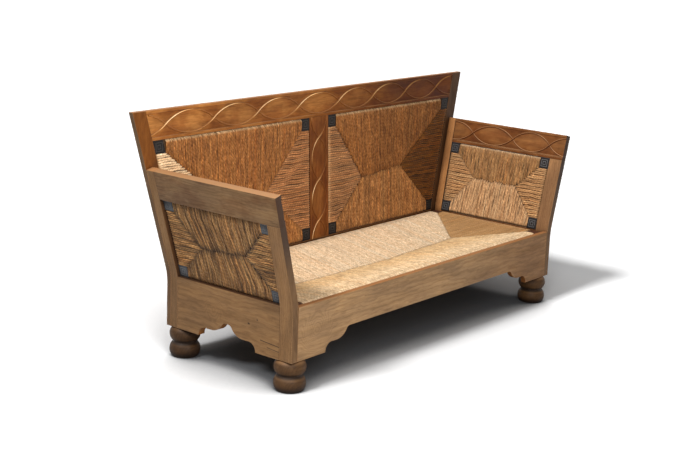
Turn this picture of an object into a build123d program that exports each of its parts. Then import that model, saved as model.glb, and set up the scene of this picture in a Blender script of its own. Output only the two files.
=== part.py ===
from build123d import *
from math import cos, radians, sin, tan
import os

# A sofa bench of oak with rush panels in its back, its arms and its loose seat.
# The front is towards -Y, the length lies along X, and Z is up from the floor.

# Sizes of the whole bench, in millimetres and degrees
base_length = 1600
base_depth = 590
foot_height = 110
rail_height = 188
back_height = 581
arm_height = 282
arm_rail_width = 104
flare_angle = 14.8
recline_angle = 2.86
bend_radius = 250
edge_radius = 1.5

# Turned feet
foot_radius = 55
foot_inset = 46
foot_top_radius = 40
foot_waist_radius = 43
foot_waist = 4
foot_base_radius = 46
spigot_radius = 11
spigot_length = 45

# Boards of the base and the ends
end_thickness = 29
front_post_width = 57
rear_post_width = 34
front_rail_thickness = 20
rear_rail_width = 118
base_block = 75
front_bracket_length = 143
peak_width = 12
tenon_thickness = 9
tenon_length = 20
tenon_shoulder = 16

# The ogee under a rail, from the end of its bracket inward and upward
cove_width = 39
cove_height = 32
ogee_flat = 22
ovolo_width = 52
ovolo_height = 30
lip_width = 15
lip_height = 7

# Boards of the back
back_thickness = 20
stile_width = 57
top_rail_width = 104
muntin_width = 110

# Carving: a sunk field with a pair of interlaced beads
carve_depth = 3
bead_width = 6
bead_overlap = 1
field_margin = 8
top_wave_pitch = 225
top_wave_count = 10
arm_wave_pitch = 191
arm_wave_count = 4
muntin_wave_count = 3

# Rush panels of the back and the arms
back_block = 48
back_rush_proud = 3
arm_block = 43
arm_rush_inset = 11
arm_rush_thickness = 20
block_recess = 1.5
panel_rail_width = 26
panel_rail_thickness = 11
rush_wrap = 5
rush_edge_radius = 5
housing_share = 0.8
weave_groove = 3
weave_groove_depth = 1.2
back_inner_apex_share = 0.287
back_outer_apex_share = 0.375
back_ridge_share = 0.45
arm_apex_share = 0.285
arm_ridge_share = 0.535
dowel_radius = 4
dowel_length = 30

# Loose seat and what it lies on
seat_thickness = 33
seat_proud = 1
seat_side_gap = 5
seat_front_gap = 2
seat_rear_gap = 6
seat_rest_gap = 0.3
seat_block = 50
seat_block_recess = 5
seat_rail_width = 34
seat_rail_thickness = 22
seat_apex_share = 0.24
seat_ridge_share = 0.363
cleat_width = 25
cleat_height = 25
bearer_width = 60
bearer_height = 45
bearer_tongue = 12
screw_radius = 2
screw_head_radius = 4
screw_length = 38
long_cleat_screws = 6
short_cleat_screws = 2
screw_end_margin = 60

# Places that follow from the sizes above
flare = radians(flare_angle)
recline = radians(recline_angle)
flare_slope = tan(flare)
recline_slope = tan(recline)
bend_z = foot_height + rail_height
back_top_z = bend_z + back_height
top_rail_low_z = back_top_z - top_rail_width
joint_z = bend_z + arm_height
arm_top_z = joint_z + arm_rail_width * cos(radians(flare_angle))
ogee_width = cove_width + ogee_flat + ovolo_width + lip_width
ogee_height = cove_height + ovolo_height + lip_height
side_x = base_length / 2
end_inner_x = side_x - end_thickness
foot_overhang = foot_radius - foot_inset
rear_lean = back_height * recline_slope
front_y = (foot_overhang - base_depth - rear_lean) / 2
rear_y = front_y + base_depth
back_front_y = rear_y - back_thickness
rear_post_front_y = back_front_y - rear_post_width
front_post_rear_y = front_y + front_post_width
front_rail_rear_y = front_y + front_rail_thickness
seat_top_z = bend_z + seat_proud
seat_low_z = seat_top_z - seat_thickness
cleat_top_z = seat_low_z - seat_rest_gap
reach = base_length + base_depth + back_height


def flared_x(inset, z):
    """Place across of the leaning part of a plane that lies inset in from an end's outside."""
    return side_x + (z - bend_z) * flare_slope - inset / cos(flare)


def leaning_y(y, z):
    """Place in depth, at a height above the bend, of a back plane that stands at y below it."""
    return y + (z - bend_z) * recline_slope


def rise(z):
    """Distance up the leaning back's face at a height."""
    return (z - bend_z) / cos(recline)


def arm_rise(z, inset):
    """Distance up the flaring face that lies inset in from an arm's outside, at a height."""
    return (z - bend_z - inset * sin(flare)) / cos(flare)


def back_plane(depth):
    """The leaning plane that lies depth behind the face of the back, seen from the front."""
    return Plane(
        origin=(0, back_front_y + depth, bend_z),
        x_dir=(1, 0, 0),
        z_dir=(0, -cos(recline), sin(recline)),
    )


def arm_plane(inset):
    """The flaring plane that lies inset in from the outside of the right arm, seen from outside."""
    return Plane(
        origin=(side_x - inset * cos(flare), 0, bend_z + inset * sin(flare)),
        x_dir=(0, 1, 0),
        z_dir=(cos(flare), 0, -sin(flare)),
    )


def square_plane(z):
    """The plane square to the flaring right end, through its outside at a height."""
    return Plane(origin=(flared_x(0, z), 0, z), x_dir=(0, 1, 0), z_dir=(sin(flare), 0, cos(flare)))


def flared_section(inset, thickness, low_z, high_z):
    """Section of a flaring wall of the right end, seen from the front."""
    far = inset + thickness
    with BuildSketch() as section:
        with BuildLine():
            outside = FilletPolyline(
                (side_x - inset, low_z),
                (side_x - inset, bend_z + inset * tan(flare / 2)),
                (flared_x(inset, high_z), high_z),
                radius=bend_radius + inset,
            )
            inside = FilletPolyline(
                (side_x - far, low_z),
                (side_x - far, bend_z + far * tan(flare / 2)),
                (flared_x(far, high_z), high_z),
                radius=bend_radius + far,
            )
            Line(outside @ 0, inside @ 0)
            Line(outside @ 1, inside @ 1)
        make_face()
    return section.sketch_local


def leaning_section(front, back, low_z, high_z):
    """Section of a wall that stands upright below the bend and leans back above it, seen from the side."""
    with BuildSketch() as section:
        with BuildLine():
            near = FilletPolyline(
                (front, low_z), (front, bend_z), (leaning_y(front, high_z), high_z), radius=bend_radius
            )
            far = FilletPolyline(
                (back, low_z), (back, bend_z), (leaning_y(back, high_z), high_z), radius=bend_radius
            )
            Line(near @ 0, far @ 0)
            Line(near @ 1, far @ 1)
        make_face()
    return section.sketch_local


def ogee_edge(end, inward):
    """Cove, flat, ovolo and lip from the end of a bracket up to the underside of its rail."""
    low = foot_height
    cove_end = (end + inward * cove_width, low + cove_height)
    ovolo_start = (end + inward * (cove_width + ogee_flat), low + cove_height)
    lip_start = (end + inward * (ogee_width - lip_width), low + ogee_height - lip_height)
    lip_end = (end + inward * ogee_width, low + ogee_height)
    TangentArc((end, low), cove_end, tangent=(0, 1))
    Line(cove_end, ovolo_start)
    TangentArc(ovolo_start, lip_start, tangent=(inward, 0))
    TangentArc(lip_end, lip_start, tangent=(-inward, 0))


def ogee_board(left, right, gap_left, gap_right, high_z):
    """Outline of a board with an ogee bracket at each end, whose ogees start at the two gap places."""
    with BuildLine() as outline:
        Polyline((gap_left, foot_height), (left, foot_height), (left, high_z))
        Line((left, high_z), (right, high_z))
        Polyline((right, high_z), (right, foot_height), (gap_right, foot_height))
        ogee_edge(gap_left, 1)
        ogee_edge(gap_right, -1)
        under_z = foot_height + ogee_height
        Line((gap_left + ogee_width, under_z), (gap_right - ogee_width, under_z))
    make_face(outline.edges())


def wave(start, pitch, count, swing, middle, first, upright=False):
    """A strand of carving that swings to one side and the other of its middle line."""
    for step in range(count):
        side = first if step % 2 == 0 else -first
        place = start + step * pitch
        points = [(place, middle), (place + pitch / 2, middle + side * swing), (place + pitch, middle)]
        if upright:
            points = [(across, along) for along, across in points]
        ThreePointArc(*points)


def save(piece, name):
    """Labels a finished piece and writes it."""
    piece.label = name
    export_step(piece, "parts/" + name + ".step")


def save_pair(right, name, ending=""):
    """Writes a piece of the right side and its mirror image."""
    with BuildPart() as left:
        mirror(right, about=Plane.YZ)
    save(right, name + "_right" + ending)
    save(left.part, name + "_left" + ending)


os.makedirs("parts", exist_ok=True)

# Blanks that several boards are cut from
with BuildPart() as end_wall:
    with BuildSketch(Plane.XZ.offset(-front_y)):
        add(flared_section(0, end_thickness, foot_height, arm_top_z + end_thickness))
    extrude(amount=-(base_depth + rear_lean))

with BuildPart() as above_joint:
    with BuildSketch(square_plane(joint_z)):
        Rectangle(reach, reach)
    extrude(amount=arm_rail_width)

# Screws of the seat's cleats, and the bearer that is let into the cleats
long_cleat = 2 * (end_inner_x - base_block)
cleat_z = cleat_top_z - cleat_height / 2
cleat_rear_y = back_front_y
short_cleat = cleat_rear_y - front_rail_rear_y - 2 * base_block
cleat_middle_y = (front_rail_rear_y + cleat_rear_y) / 2
bearer_span = cleat_rear_y - front_rail_rear_y
with BuildPart() as seat_bearer:
    with Locations((0, cleat_middle_y, cleat_top_z - bearer_height / 2)):
        Box(bearer_width, bearer_span - 2 * cleat_width, bearer_height)
    with Locations((0, cleat_middle_y, cleat_top_z - bearer_tongue / 2)):
        Box(bearer_width, bearer_span - cleat_width, bearer_tongue)
save(seat_bearer.part, "seat_bearer")

with BuildPart() as screw:
    with BuildSketch(Plane.XZ):
        with BuildLine():
            Polyline(
                (0, 0),
                (screw_head_radius, 0),
                (screw_radius, -screw_radius),
                (screw_radius, screw_radius - screw_length),
                (0, -screw_length),
                (0, 0),
            )
        make_face()
    revolve(axis=Axis.Z)

long_screw_step = (long_cleat - 2 * screw_end_margin) / (long_cleat_screws - 1)
short_screw_step = (short_cleat - 2 * screw_end_margin) / (short_cleat_screws - 1)
screw_x = end_inner_x - cleat_width
screw_places = []
for place in range(long_cleat_screws):
    x = place * long_screw_step + screw_end_margin - long_cleat / 2
    screw_places.append(Location((x, front_rail_rear_y + cleat_width, cleat_z), (-90, 0, 0)))
    screw_places.append(Location((x, cleat_rear_y - cleat_width, cleat_z), (90, 0, 0)))
for place in range(short_cleat_screws):
    y = cleat_middle_y + place * short_screw_step + screw_end_margin - short_cleat / 2
    screw_places.append(Location((screw_x, y, cleat_z), (0, -90, 0)))
    screw_places.append(Location((-screw_x, y, cleat_z), (0, 90, 0)))
with BuildPart() as cleat_screws:
    with Locations(*screw_places):
        add(screw.part)
save(cleat_screws.part, "cleat_screws")

# Front rail
with BuildPart() as front_rail:
    with BuildSketch(Plane.XZ.offset(-front_y)):
        gap_x = end_inner_x - front_bracket_length
        ogee_board(-end_inner_x, end_inner_x, -gap_x, gap_x, bend_z)
    extrude(amount=-front_rail_thickness)
    fillet(front_rail.edges().group_by(Axis.Y)[0], radius=edge_radius)
    fillet(front_rail.faces().sort_by(Axis.Z)[-1].edges().sort_by(Axis.Y)[-1], radius=edge_radius)
    tenon_y = front_y + front_rail_thickness / 2
    tenon_z = foot_height + rail_height / 2
    tenon_height = rail_height - 2 * tenon_shoulder
    with Locations((-end_inner_x, tenon_y, tenon_z), (end_inner_x, tenon_y, tenon_z)):
        Box(2 * tenon_length, tenon_thickness, tenon_height)
    add(cleat_screws.part, mode=Mode.SUBTRACT)
save(front_rail.part, "front_rail")

# End aprons
with BuildPart() as end_apron:
    with BuildSketch(Plane.YZ):
        apron_length = rear_post_front_y - front_post_rear_y
        bracket = (apron_length - 2 * ogee_width - peak_width) / 2
        ogee_board(
            front_post_rear_y,
            rear_post_front_y,
            front_post_rear_y + bracket,
            rear_post_front_y - bracket,
            bend_z,
        )
    extrude(amount=reach)
    add(end_wall.part, mode=Mode.INTERSECT)
    fillet(end_apron.faces().sort_by(Axis.Z)[-1].edges().filter_by(Axis.Y), radius=edge_radius)
    tenon_x = end_inner_x + end_thickness / 2
    with Locations((tenon_x, front_post_rear_y, tenon_z), (tenon_x, rear_post_front_y, tenon_z)):
        Box(tenon_thickness, 2 * tenon_length, tenon_height)
    add(cleat_screws.part, mode=Mode.SUBTRACT)
save_pair(end_apron.part, "end_apron")

# Dowels of the rush panels: each lies half in a corner block and half in the board beside it
arm_middle_inset = arm_rush_inset + arm_rush_thickness / 2
arm_panel_high_z = joint_z + arm_middle_inset * sin(flare)
arm_dowel_heights = [bend_z + arm_block / 2, arm_panel_high_z - arm_block / 2]
back_dowel_heights = [bend_z + back_block / 2, top_rail_low_z - back_block / 2]

with BuildPart() as arm_dowels:
    for height in arm_dowel_heights:
        for y in (front_post_rear_y, leaning_y(rear_post_front_y, height)):
            with Locations(Location((flared_x(arm_middle_inset, height), y, height), (90, 0, 0))):
                Cylinder(dowel_radius, dowel_length)

with BuildPart() as back_dowels:
    for height in back_dowel_heights:
        for x in (muntin_width / 2, flared_x(stile_width, height)):
            y = leaning_y(back_front_y + back_thickness / 2, height)
            with Locations(Location((x, y, height), (0, 90, 0))):
                Cylinder(dowel_radius, dowel_length)

with BuildPart() as panel_dowels:
    add(arm_dowels.part)
    add(back_dowels.part)
    mirror(about=Plane.YZ)
save(panel_dowels.part, "panel_dowels")

# Front posts, with a tenon up into the arm rail
post_tenon_width = front_post_width - 2 * tenon_shoulder
with BuildPart() as front_post:
    with Locations((side_x, front_y + front_post_width / 2, foot_height + reach / 2)):
        Box(reach, front_post_width, reach)
    add(end_wall.part, mode=Mode.INTERSECT)
    split(bisect_by=square_plane(joint_z), keep=Keep.BOTTOM)
    fillet(front_post.edges(), radius=edge_radius)
    with BuildSketch(arm_plane((end_thickness - tenon_thickness) / 2)):
        with Locations((front_y + front_post_width / 2, arm_rise(joint_z, 0))):
            Rectangle(post_tenon_width, 2 * tenon_length)
    extrude(amount=-tenon_thickness)
    add(front_rail.part, mode=Mode.SUBTRACT)
    add(end_apron.part, mode=Mode.SUBTRACT)
    add(arm_dowels.part, mode=Mode.SUBTRACT)
save_pair(front_post.part, "front_post")

# Arm rails, carved on their inner faces
arm_rail_rear_y = leaning_y(rear_post_front_y, arm_top_z)
arm_low = arm_rise(joint_z, 0)
arm_high = arm_low + arm_rail_width
with BuildPart() as arm_rail:
    with BuildSketch(Plane.YZ):
        low_z = joint_z - end_thickness
        high_z = arm_top_z + end_thickness
        Polygon(
            (front_y, low_z),
            (leaning_y(rear_post_front_y, low_z), low_z),
            (leaning_y(rear_post_front_y, high_z), high_z),
            (front_y, high_z),
            align=None,
        )
    extrude(amount=reach)
    add(end_wall.part, mode=Mode.INTERSECT)
    add(above_joint.part, mode=Mode.INTERSECT)
    fillet(arm_rail.edges(), radius=edge_radius)
    with BuildSketch(arm_plane(end_thickness - carve_depth)) as arm_field:
        with Locations(((front_y + arm_rail_rear_y) / 2, (arm_low + arm_high) / 2)):
            Rectangle(arm_rail_rear_y - front_y + end_thickness, arm_rail_width - 2 * field_margin)
    extrude(amount=-2 * carve_depth, mode=Mode.SUBTRACT)
    with BuildSketch(arm_plane(end_thickness)):
        arm_start = (front_y + arm_rail_rear_y) / 2 - arm_wave_pitch * arm_wave_count / 2
        swing = (arm_rail_width - bead_width) / 2 - field_margin + bead_overlap
        for side in (1, -1):
            with BuildLine():
                wave(arm_start, arm_wave_pitch, arm_wave_count, swing, (arm_low + arm_high) / 2, side)
            trace(line_width=bead_width)
        with Locations(((front_y + arm_rail_rear_y) / 2, (arm_low + arm_high) / 2)):
            carved_length = arm_rail_rear_y - front_y - 2 * (carve_depth + edge_radius)
            Rectangle(carved_length, arm_rail_width, mode=Mode.INTERSECT)
    extrude(amount=carve_depth)
    with BuildSketch(arm_plane((end_thickness - tenon_thickness) / 2)):
        with Locations((arm_rail_rear_y, (arm_low + arm_high) / 2)):
            Rectangle(2 * tenon_length, arm_rail_width - 2 * tenon_shoulder)
    extrude(amount=-tenon_thickness)
    add(front_post.part, mode=Mode.SUBTRACT)
save_pair(arm_rail.part, "arm_rail")

# Rear posts
with BuildPart() as rear_post:
    with BuildSketch(Plane.YZ):
        add(leaning_section(rear_post_front_y, back_front_y, foot_height, arm_top_z + end_thickness))
    extrude(amount=reach)
    add(end_wall.part, mode=Mode.INTERSECT)
    split(bisect_by=square_plane(joint_z).offset(arm_rail_width), keep=Keep.BOTTOM)
    fillet(rear_post.edges(), radius=edge_radius)
    add(end_apron.part, mode=Mode.SUBTRACT)
    add(arm_rail.part, mode=Mode.SUBTRACT)
    add(arm_dowels.part, mode=Mode.SUBTRACT)
save_pair(rear_post.part, "rear_post")

# Muntin between the two rush panels, carved on its face
muntin_half = muntin_width / 2
muntin_high = rise(top_rail_low_z)
with BuildPart() as back_muntin:
    with BuildSketch(back_plane(0)):
        with Locations((0, muntin_high / 2)):
            Rectangle(muntin_width, muntin_high)
    extrude(amount=back_thickness, dir=(0, 1, 0))
    upright_edges = back_muntin.edges().filter_by(Axis.X, reverse=True).filter_by(Axis.Y, reverse=True)
    fillet(upright_edges, radius=edge_radius)
    with BuildSketch(back_plane(0)):
        with Locations((0, muntin_high / 2)):
            Rectangle(muntin_width - 2 * field_margin, muntin_high)
    extrude(amount=carve_depth, dir=(0, 1, 0), mode=Mode.SUBTRACT)
    with BuildSketch(back_plane(carve_depth)):
        pitch = muntin_high / muntin_wave_count
        swing = (muntin_width - bead_width) / 2 - field_margin + bead_overlap
        for side in (1, -1):
            with BuildLine():
                wave(-pitch / 2, pitch, muntin_wave_count + 1, swing, 0, side, upright=True)
            trace(line_width=bead_width)
        with Locations((0, muntin_high / 2)):
            Rectangle(muntin_width, muntin_high, mode=Mode.INTERSECT)
    extrude(amount=carve_depth, dir=(0, -1, 0))
    with BuildSketch(back_plane((back_thickness - tenon_thickness) / 2)):
        with Locations((0, muntin_high / 2)):
            Rectangle(muntin_width - 2 * tenon_shoulder, muntin_high + 2 * tenon_length)
    extrude(amount=tenon_thickness, dir=(0, 1, 0))
    add(back_dowels.part, mode=Mode.SUBTRACT)
    add(mirror(back_dowels.part, about=Plane.YZ, mode=Mode.PRIVATE), mode=Mode.SUBTRACT)
save(back_muntin.part, "back_muntin")

# Rear rail, the bottom rail of the back
stile_inner_x = side_x - stile_width
with BuildPart() as rear_rail:
    with Locations((0, rear_y - back_thickness / 2, bend_z - rear_rail_width / 2)):
        Box(2 * stile_inner_x, back_thickness, rear_rail_width)
        fillet(rear_rail.edges().filter_by(Axis.X), radius=edge_radius)
        Box(
            2 * (stile_inner_x + tenon_length),
            tenon_thickness,
            rear_rail_width - 2 * tenon_shoulder,
        )
    add(back_muntin.part, mode=Mode.SUBTRACT)
    add(cleat_screws.part, mode=Mode.SUBTRACT)
save(rear_rail.part, "rear_rail")

# Top rail of the back, carved on its face
top_middle = (rise(top_rail_low_z) + rise(back_top_z)) / 2
top_field_low_z = top_rail_low_z + field_margin
top_field_high_z = back_top_z - field_margin
with BuildPart() as back_top_rail:
    with BuildSketch(back_plane(0)):
        low_x = flared_x(stile_width, top_rail_low_z)
        high_x = flared_x(stile_width, back_top_z)
        Polygon(
            (-low_x, rise(top_rail_low_z)),
            (low_x, rise(top_rail_low_z)),
            (high_x, rise(back_top_z)),
            (-high_x, rise(back_top_z)),
            align=None,
        )
    extrude(amount=back_thickness, dir=(0, 1, 0))
    fillet(back_top_rail.edges().filter_by(Axis.X), radius=edge_radius)
    with BuildSketch(back_plane(0)) as top_field:
        field_low_x = flared_x(stile_width + bead_width, top_field_low_z)
        field_high_x = flared_x(stile_width + bead_width, top_field_high_z)
        Polygon(
            (-field_low_x, rise(top_field_low_z)),
            (field_low_x, rise(top_field_low_z)),
            (field_high_x, rise(top_field_high_z)),
            (-field_high_x, rise(top_field_high_z)),
            align=None,
        )
    extrude(amount=carve_depth, dir=(0, 1, 0), mode=Mode.SUBTRACT)
    with BuildSketch(back_plane(carve_depth)):
        swing = (rise(top_field_high_z) - rise(top_field_low_z) - bead_width) / 2 + bead_overlap
        top_start = -top_wave_pitch * (top_wave_count - 1) / 2
        for side in (1, -1):
            with BuildLine():
                wave(top_start, top_wave_pitch, top_wave_count - 1, swing, top_middle, side)
            trace(line_width=bead_width)
        add(top_field.sketch_local, mode=Mode.INTERSECT)
    extrude(amount=carve_depth, dir=(0, -1, 0))
    with BuildSketch(back_plane((back_thickness - tenon_thickness) / 2)):
        tenon_low_z = top_rail_low_z + tenon_shoulder
        tenon_high_z = back_top_z - tenon_shoulder
        Polygon(
            (-flared_x(stile_width, tenon_low_z) - tenon_length, rise(tenon_low_z)),
            (flared_x(stile_width, tenon_low_z) + tenon_length, rise(tenon_low_z)),
            (flared_x(stile_width, tenon_high_z) + tenon_length, rise(tenon_high_z)),
            (-flared_x(stile_width, tenon_high_z) - tenon_length, rise(tenon_high_z)),
            align=None,
        )
    extrude(amount=tenon_thickness, dir=(0, 1, 0))
    add(back_muntin.part, mode=Mode.SUBTRACT)
save(back_top_rail.part, "back_top_rail")

# Back stiles, flaring like the ends and leaning back
with BuildPart() as back_wall:
    with BuildSketch(Plane.YZ):
        add(leaning_section(back_front_y, rear_y, foot_height, back_top_z))
    extrude(amount=reach)

with BuildPart() as back_stile:
    with BuildSketch(Plane.XZ.offset(-front_y)):
        add(flared_section(0, stile_width, foot_height, back_top_z))
    extrude(amount=-reach)
    add(back_wall.part, mode=Mode.INTERSECT)
    fillet(back_stile.edges(), radius=edge_radius)
    add(rear_rail.part, mode=Mode.SUBTRACT)
    add(back_top_rail.part, mode=Mode.SUBTRACT)
    add(back_dowels.part, mode=Mode.SUBTRACT)
save_pair(back_stile.part, "back_stile")

# Turned feet: two bun rings, with a spigot that stands in the base block
foot_x = side_x - foot_inset
foot_front_y = front_y + foot_inset
foot_rear_y = rear_y - foot_inset
ring_height = (foot_height - foot_waist) / 2
with BuildPart() as foot:
    with BuildSketch(Plane.XZ):
        with BuildLine():
            Polyline((0, 0), (foot_base_radius, 0))
            ThreePointArc(
                (foot_base_radius, 0), (foot_radius, ring_height / 2), (foot_waist_radius, ring_height)
            )
            Line((foot_waist_radius, ring_height), (foot_waist_radius, ring_height + foot_waist))
            ThreePointArc(
                (foot_waist_radius, ring_height + foot_waist),
                (foot_radius, foot_height - ring_height / 2),
                (foot_top_radius, foot_height),
            )
            Polyline(
                (foot_top_radius, foot_height),
                (spigot_radius, foot_height),
                (spigot_radius, foot_height + spigot_length),
                (0, foot_height + spigot_length),
                (0, 0),
            )
        make_face()
    revolve(axis=Axis.Z)

# Base blocks, bored for the spigots, that carry the seat's corners
block_height = cleat_top_z - foot_height
for end, block_y, foot_y in (
    ("front", front_rail_rear_y, foot_front_y),
    ("rear", back_front_y - base_block, foot_rear_y),
):
    with BuildPart() as standing_foot:
        with Locations((foot_x, foot_y, 0)):
            add(foot.part)
    save_pair(standing_foot.part, "foot_" + end)
    with BuildPart() as block:
        block_x = end_inner_x - base_block / 2
        with Locations((block_x, block_y + base_block / 2, foot_height + block_height / 2)):
            Box(base_block, base_block, block_height)
        fillet(block.edges().filter_by(Axis.Z), radius=edge_radius)
        add(standing_foot.part, mode=Mode.SUBTRACT)
    save_pair(block.part, "base_block_" + end)

# Cleats round the inside of the base
for end, y in (("front", front_rail_rear_y + cleat_width / 2), ("rear", back_front_y - cleat_width / 2)):
    with BuildPart() as long_cleat_strip:
        with Locations((0, y, cleat_z)):
            Box(long_cleat, cleat_width, cleat_height)
        add(seat_bearer.part, mode=Mode.SUBTRACT)
        add(cleat_screws.part, mode=Mode.SUBTRACT)
    save(long_cleat_strip.part, "seat_cleat_" + end)
with BuildPart() as short_cleat_strip:
    with Locations((end_inner_x - cleat_width / 2, cleat_middle_y, cleat_z)):
        Box(cleat_width, short_cleat, cleat_height)
    add(cleat_screws.part, mode=Mode.SUBTRACT)
save_pair(short_cleat_strip.part, "seat_cleat")


def strip(near, near_shift, far, far_shift, low, high):
    """Corners of a strip between two edge lines, each shifted along, from a low to a high place."""
    return [
        (near(low) + near_shift, low),
        (far(low) + far_shift, low),
        (far(high) + far_shift, high),
        (near(high) + near_shift, high),
    ]


def band(start, end):
    """Corners of the narrow valley between two fields of rush, along a line and a little past its ends."""
    along = (Vector(*end) - Vector(*start)).normalized() * weave_groove
    first = Vector(*start) - along
    last = Vector(*end) + along
    side = along.rotate(Axis.Z, 90) / 2
    return [(spot.X, spot.Y) for spot in (first - side, last - side, last + side, first + side)]


def block_strips(near, far, low, high, block, over=0):
    """The four corner blocks of a panel, the high ones long enough to be cut square by what they meet."""
    return [
        strip(near, 0, near, block, low, low + block),
        strip(far, -block, far, 0, low, low + block),
        strip(near, 0, near, block, high - block, high + over),
        strip(far, -block, far, 0, high - block, high + over),
    ]


def rail_strips(near, far, low, high, block, width):
    """The low, high, near and far rail of a panel, housed in its corner blocks."""
    start = block - housing_share * (block - rush_wrap - width)
    edge = rush_wrap + width
    return [
        strip(near, start, far, -start, low + rush_wrap, low + edge),
        strip(near, start, far, -start, high - edge, high - rush_wrap),
        strip(near, rush_wrap, near, edge, low + start, high - start),
        strip(far, -edge, far, -rush_wrap, low + start, high - start),
    ]


def weave_bands(near, far, low, high, block, near_apex_share, far_apex_share, ridge_share):
    """The valleys from the corners of a panel to the two ends of its ridge, and the ridge."""
    ridge = low + ridge_share * (high - low)
    width = far(ridge) - near(ridge)
    near_apex = (near(ridge) + near_apex_share * width, ridge)
    far_apex = (far(ridge) - far_apex_share * width, ridge)
    low_block = low + block
    high_block = high - block
    return [
        band((near(low_block) + block, low_block), near_apex),
        band((near(high_block) + block, high_block), near_apex),
        band((far(low_block) - block, low_block), far_apex),
        band((far(high_block) - block, high_block), far_apex),
        band(near_apex, far_apex),
    ]


def lay_back(depth, thickness, strips):
    """Slabs in the leaning right half of the back."""
    with BuildPart() as layer:
        with BuildSketch(back_plane(depth)):
            for points in strips:
                Polygon(*[(x, rise(z)) for x, z in points], align=None)
        extrude(amount=thickness, dir=(0, 1, 0))
    return layer.part


def lay_arm(inset, thickness, strips):
    """Slabs in the flaring right arm, under the arm rail."""
    with BuildPart() as layer:
        with BuildSketch(arm_plane(inset)):
            for points in strips:
                Polygon(*[(y, arm_rise(z, inset)) for y, z in points], align=None)
        extrude(amount=thickness / cos(flare), dir=(-1, 0, 0))
        add(above_joint.part, mode=Mode.SUBTRACT)
    return layer.part


def lay_seat(depth, thickness, strips):
    """Slabs in the seat, down from its top."""
    with BuildPart() as layer:
        with BuildSketch(Plane.XY.offset(seat_top_z - depth)):
            for points in strips:
                Polygon(*points, align=None)
        extrude(amount=-thickness)
    return layer.part


def rush_form(lay, depth, thickness, outline, blocks, rails, bands):
    """Rush woven round four rails: rounded where it wraps them, open at the blocks, with sunk valleys."""
    rush_blank = lay(depth, thickness, [outline])
    corners = lay(depth, thickness, blocks)
    with BuildPart() as rush:
        add(rush_blank)
        add(corners, mode=Mode.SUBTRACT)
        long_edges = rush.edges().filter_by(lambda edge: edge.length > seat_block + back_block)
        fillet(long_edges, radius=rush_edge_radius)
        add(rails, mode=Mode.SUBTRACT)
        add(lay(depth, weave_groove_depth, bands), mode=Mode.SUBTRACT)
        add(lay(depth + thickness - weave_groove_depth, weave_groove_depth, bands), mode=Mode.SUBTRACT)
    return rush.part


def corner_blocks(lay, depth, thickness, blocks, rails, dowels):
    """Four corner blocks, with the housings of the rails and the holes of the dowels."""
    blocks_blank = lay(depth, thickness, blocks)
    with BuildPart() as block_set:
        add(blocks_blank)
        fillet(block_set.edges(), radius=edge_radius)
        add(rails, mode=Mode.SUBTRACT)
        if dowels:
            add(dowels, mode=Mode.SUBTRACT)
    return block_set.part


def muntin_edge(z):
    """Place across of the muntin's right edge."""
    return muntin_half


def stile_edge(z):
    """Place across of the right stile's inner edge at a height."""
    return flared_x(stile_width, z)


def front_post_edge(z):
    """Place in depth of the front post's rear edge."""
    return front_post_rear_y


def rear_post_edge(z):
    """Place in depth of the rear post's front edge at a height."""
    return leaning_y(rear_post_front_y, z)


# Rush panels of the back, the right one and its mirror image
back_area = (muntin_edge, stile_edge, bend_z, top_rail_low_z)
back_blocks = block_strips(*back_area, back_block)
back_rails = rail_strips(*back_area, back_block, panel_rail_width)
back_rail_depth = (back_thickness - panel_rail_thickness) / 2
back_rail_set = lay_back(back_rail_depth, panel_rail_thickness, back_rails)
for name, points in zip(("bottom", "top", "inner", "outer"), back_rails):
    save_pair(lay_back(back_rail_depth, panel_rail_thickness, [points]), "back_panel", "_rail_" + name)
back_block_set = corner_blocks(
    lay_back,
    block_recess,
    back_thickness - 2 * block_recess,
    back_blocks,
    back_rail_set,
    back_dowels.part,
)
save_pair(back_block_set, "back_panel", "_blocks")
back_rush = rush_form(
    lay_back,
    -back_rush_proud,
    back_thickness + back_rush_proud,
    strip(muntin_edge, 0, stile_edge, 0, bend_z, top_rail_low_z),
    back_blocks,
    back_rail_set,
    weave_bands(*back_area, back_block, back_inner_apex_share, back_outer_apex_share, back_ridge_share),
)
save_pair(back_rush, "back_panel", "_rush")

# Rush panels of the arms, on the aprons and under the arm rails
arm_area = (front_post_edge, rear_post_edge, bend_z, arm_panel_high_z)
arm_blocks = block_strips(*arm_area, arm_block, end_thickness)
arm_rails = rail_strips(*arm_area, arm_block, panel_rail_width)
arm_rail_inset = arm_middle_inset - panel_rail_thickness / 2
arm_rail_set = lay_arm(arm_rail_inset, panel_rail_thickness, arm_rails)
for name, points in zip(("bottom", "top", "front", "rear"), arm_rails):
    save_pair(lay_arm(arm_rail_inset, panel_rail_thickness, [points]), "arm_panel", "_rail_" + name)
arm_block_set = corner_blocks(
    lay_arm,
    arm_rush_inset + block_recess,
    arm_rush_thickness - 2 * block_recess,
    arm_blocks,
    arm_rail_set,
    arm_dowels.part,
)
save_pair(arm_block_set, "arm_panel", "_blocks")
arm_rush = rush_form(
    lay_arm,
    arm_rush_inset,
    arm_rush_thickness,
    strip(front_post_edge, 0, rear_post_edge, 0, bend_z, arm_panel_high_z + end_thickness),
    arm_blocks,
    arm_rail_set,
    weave_bands(*arm_area, arm_block, arm_apex_share, arm_apex_share, arm_ridge_share),
)
save_pair(arm_rush, "arm_panel", "_rush")

# Loose seat, woven as one panel
seat_half = end_inner_x - seat_side_gap
seat_front_y = front_rail_rear_y + seat_front_gap
seat_rear_y = back_front_y - seat_rear_gap


def seat_left_edge(y):
    """Place across of the seat's left edge."""
    return -seat_half


def seat_right_edge(y):
    """Place across of the seat's right edge."""
    return seat_half


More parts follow.
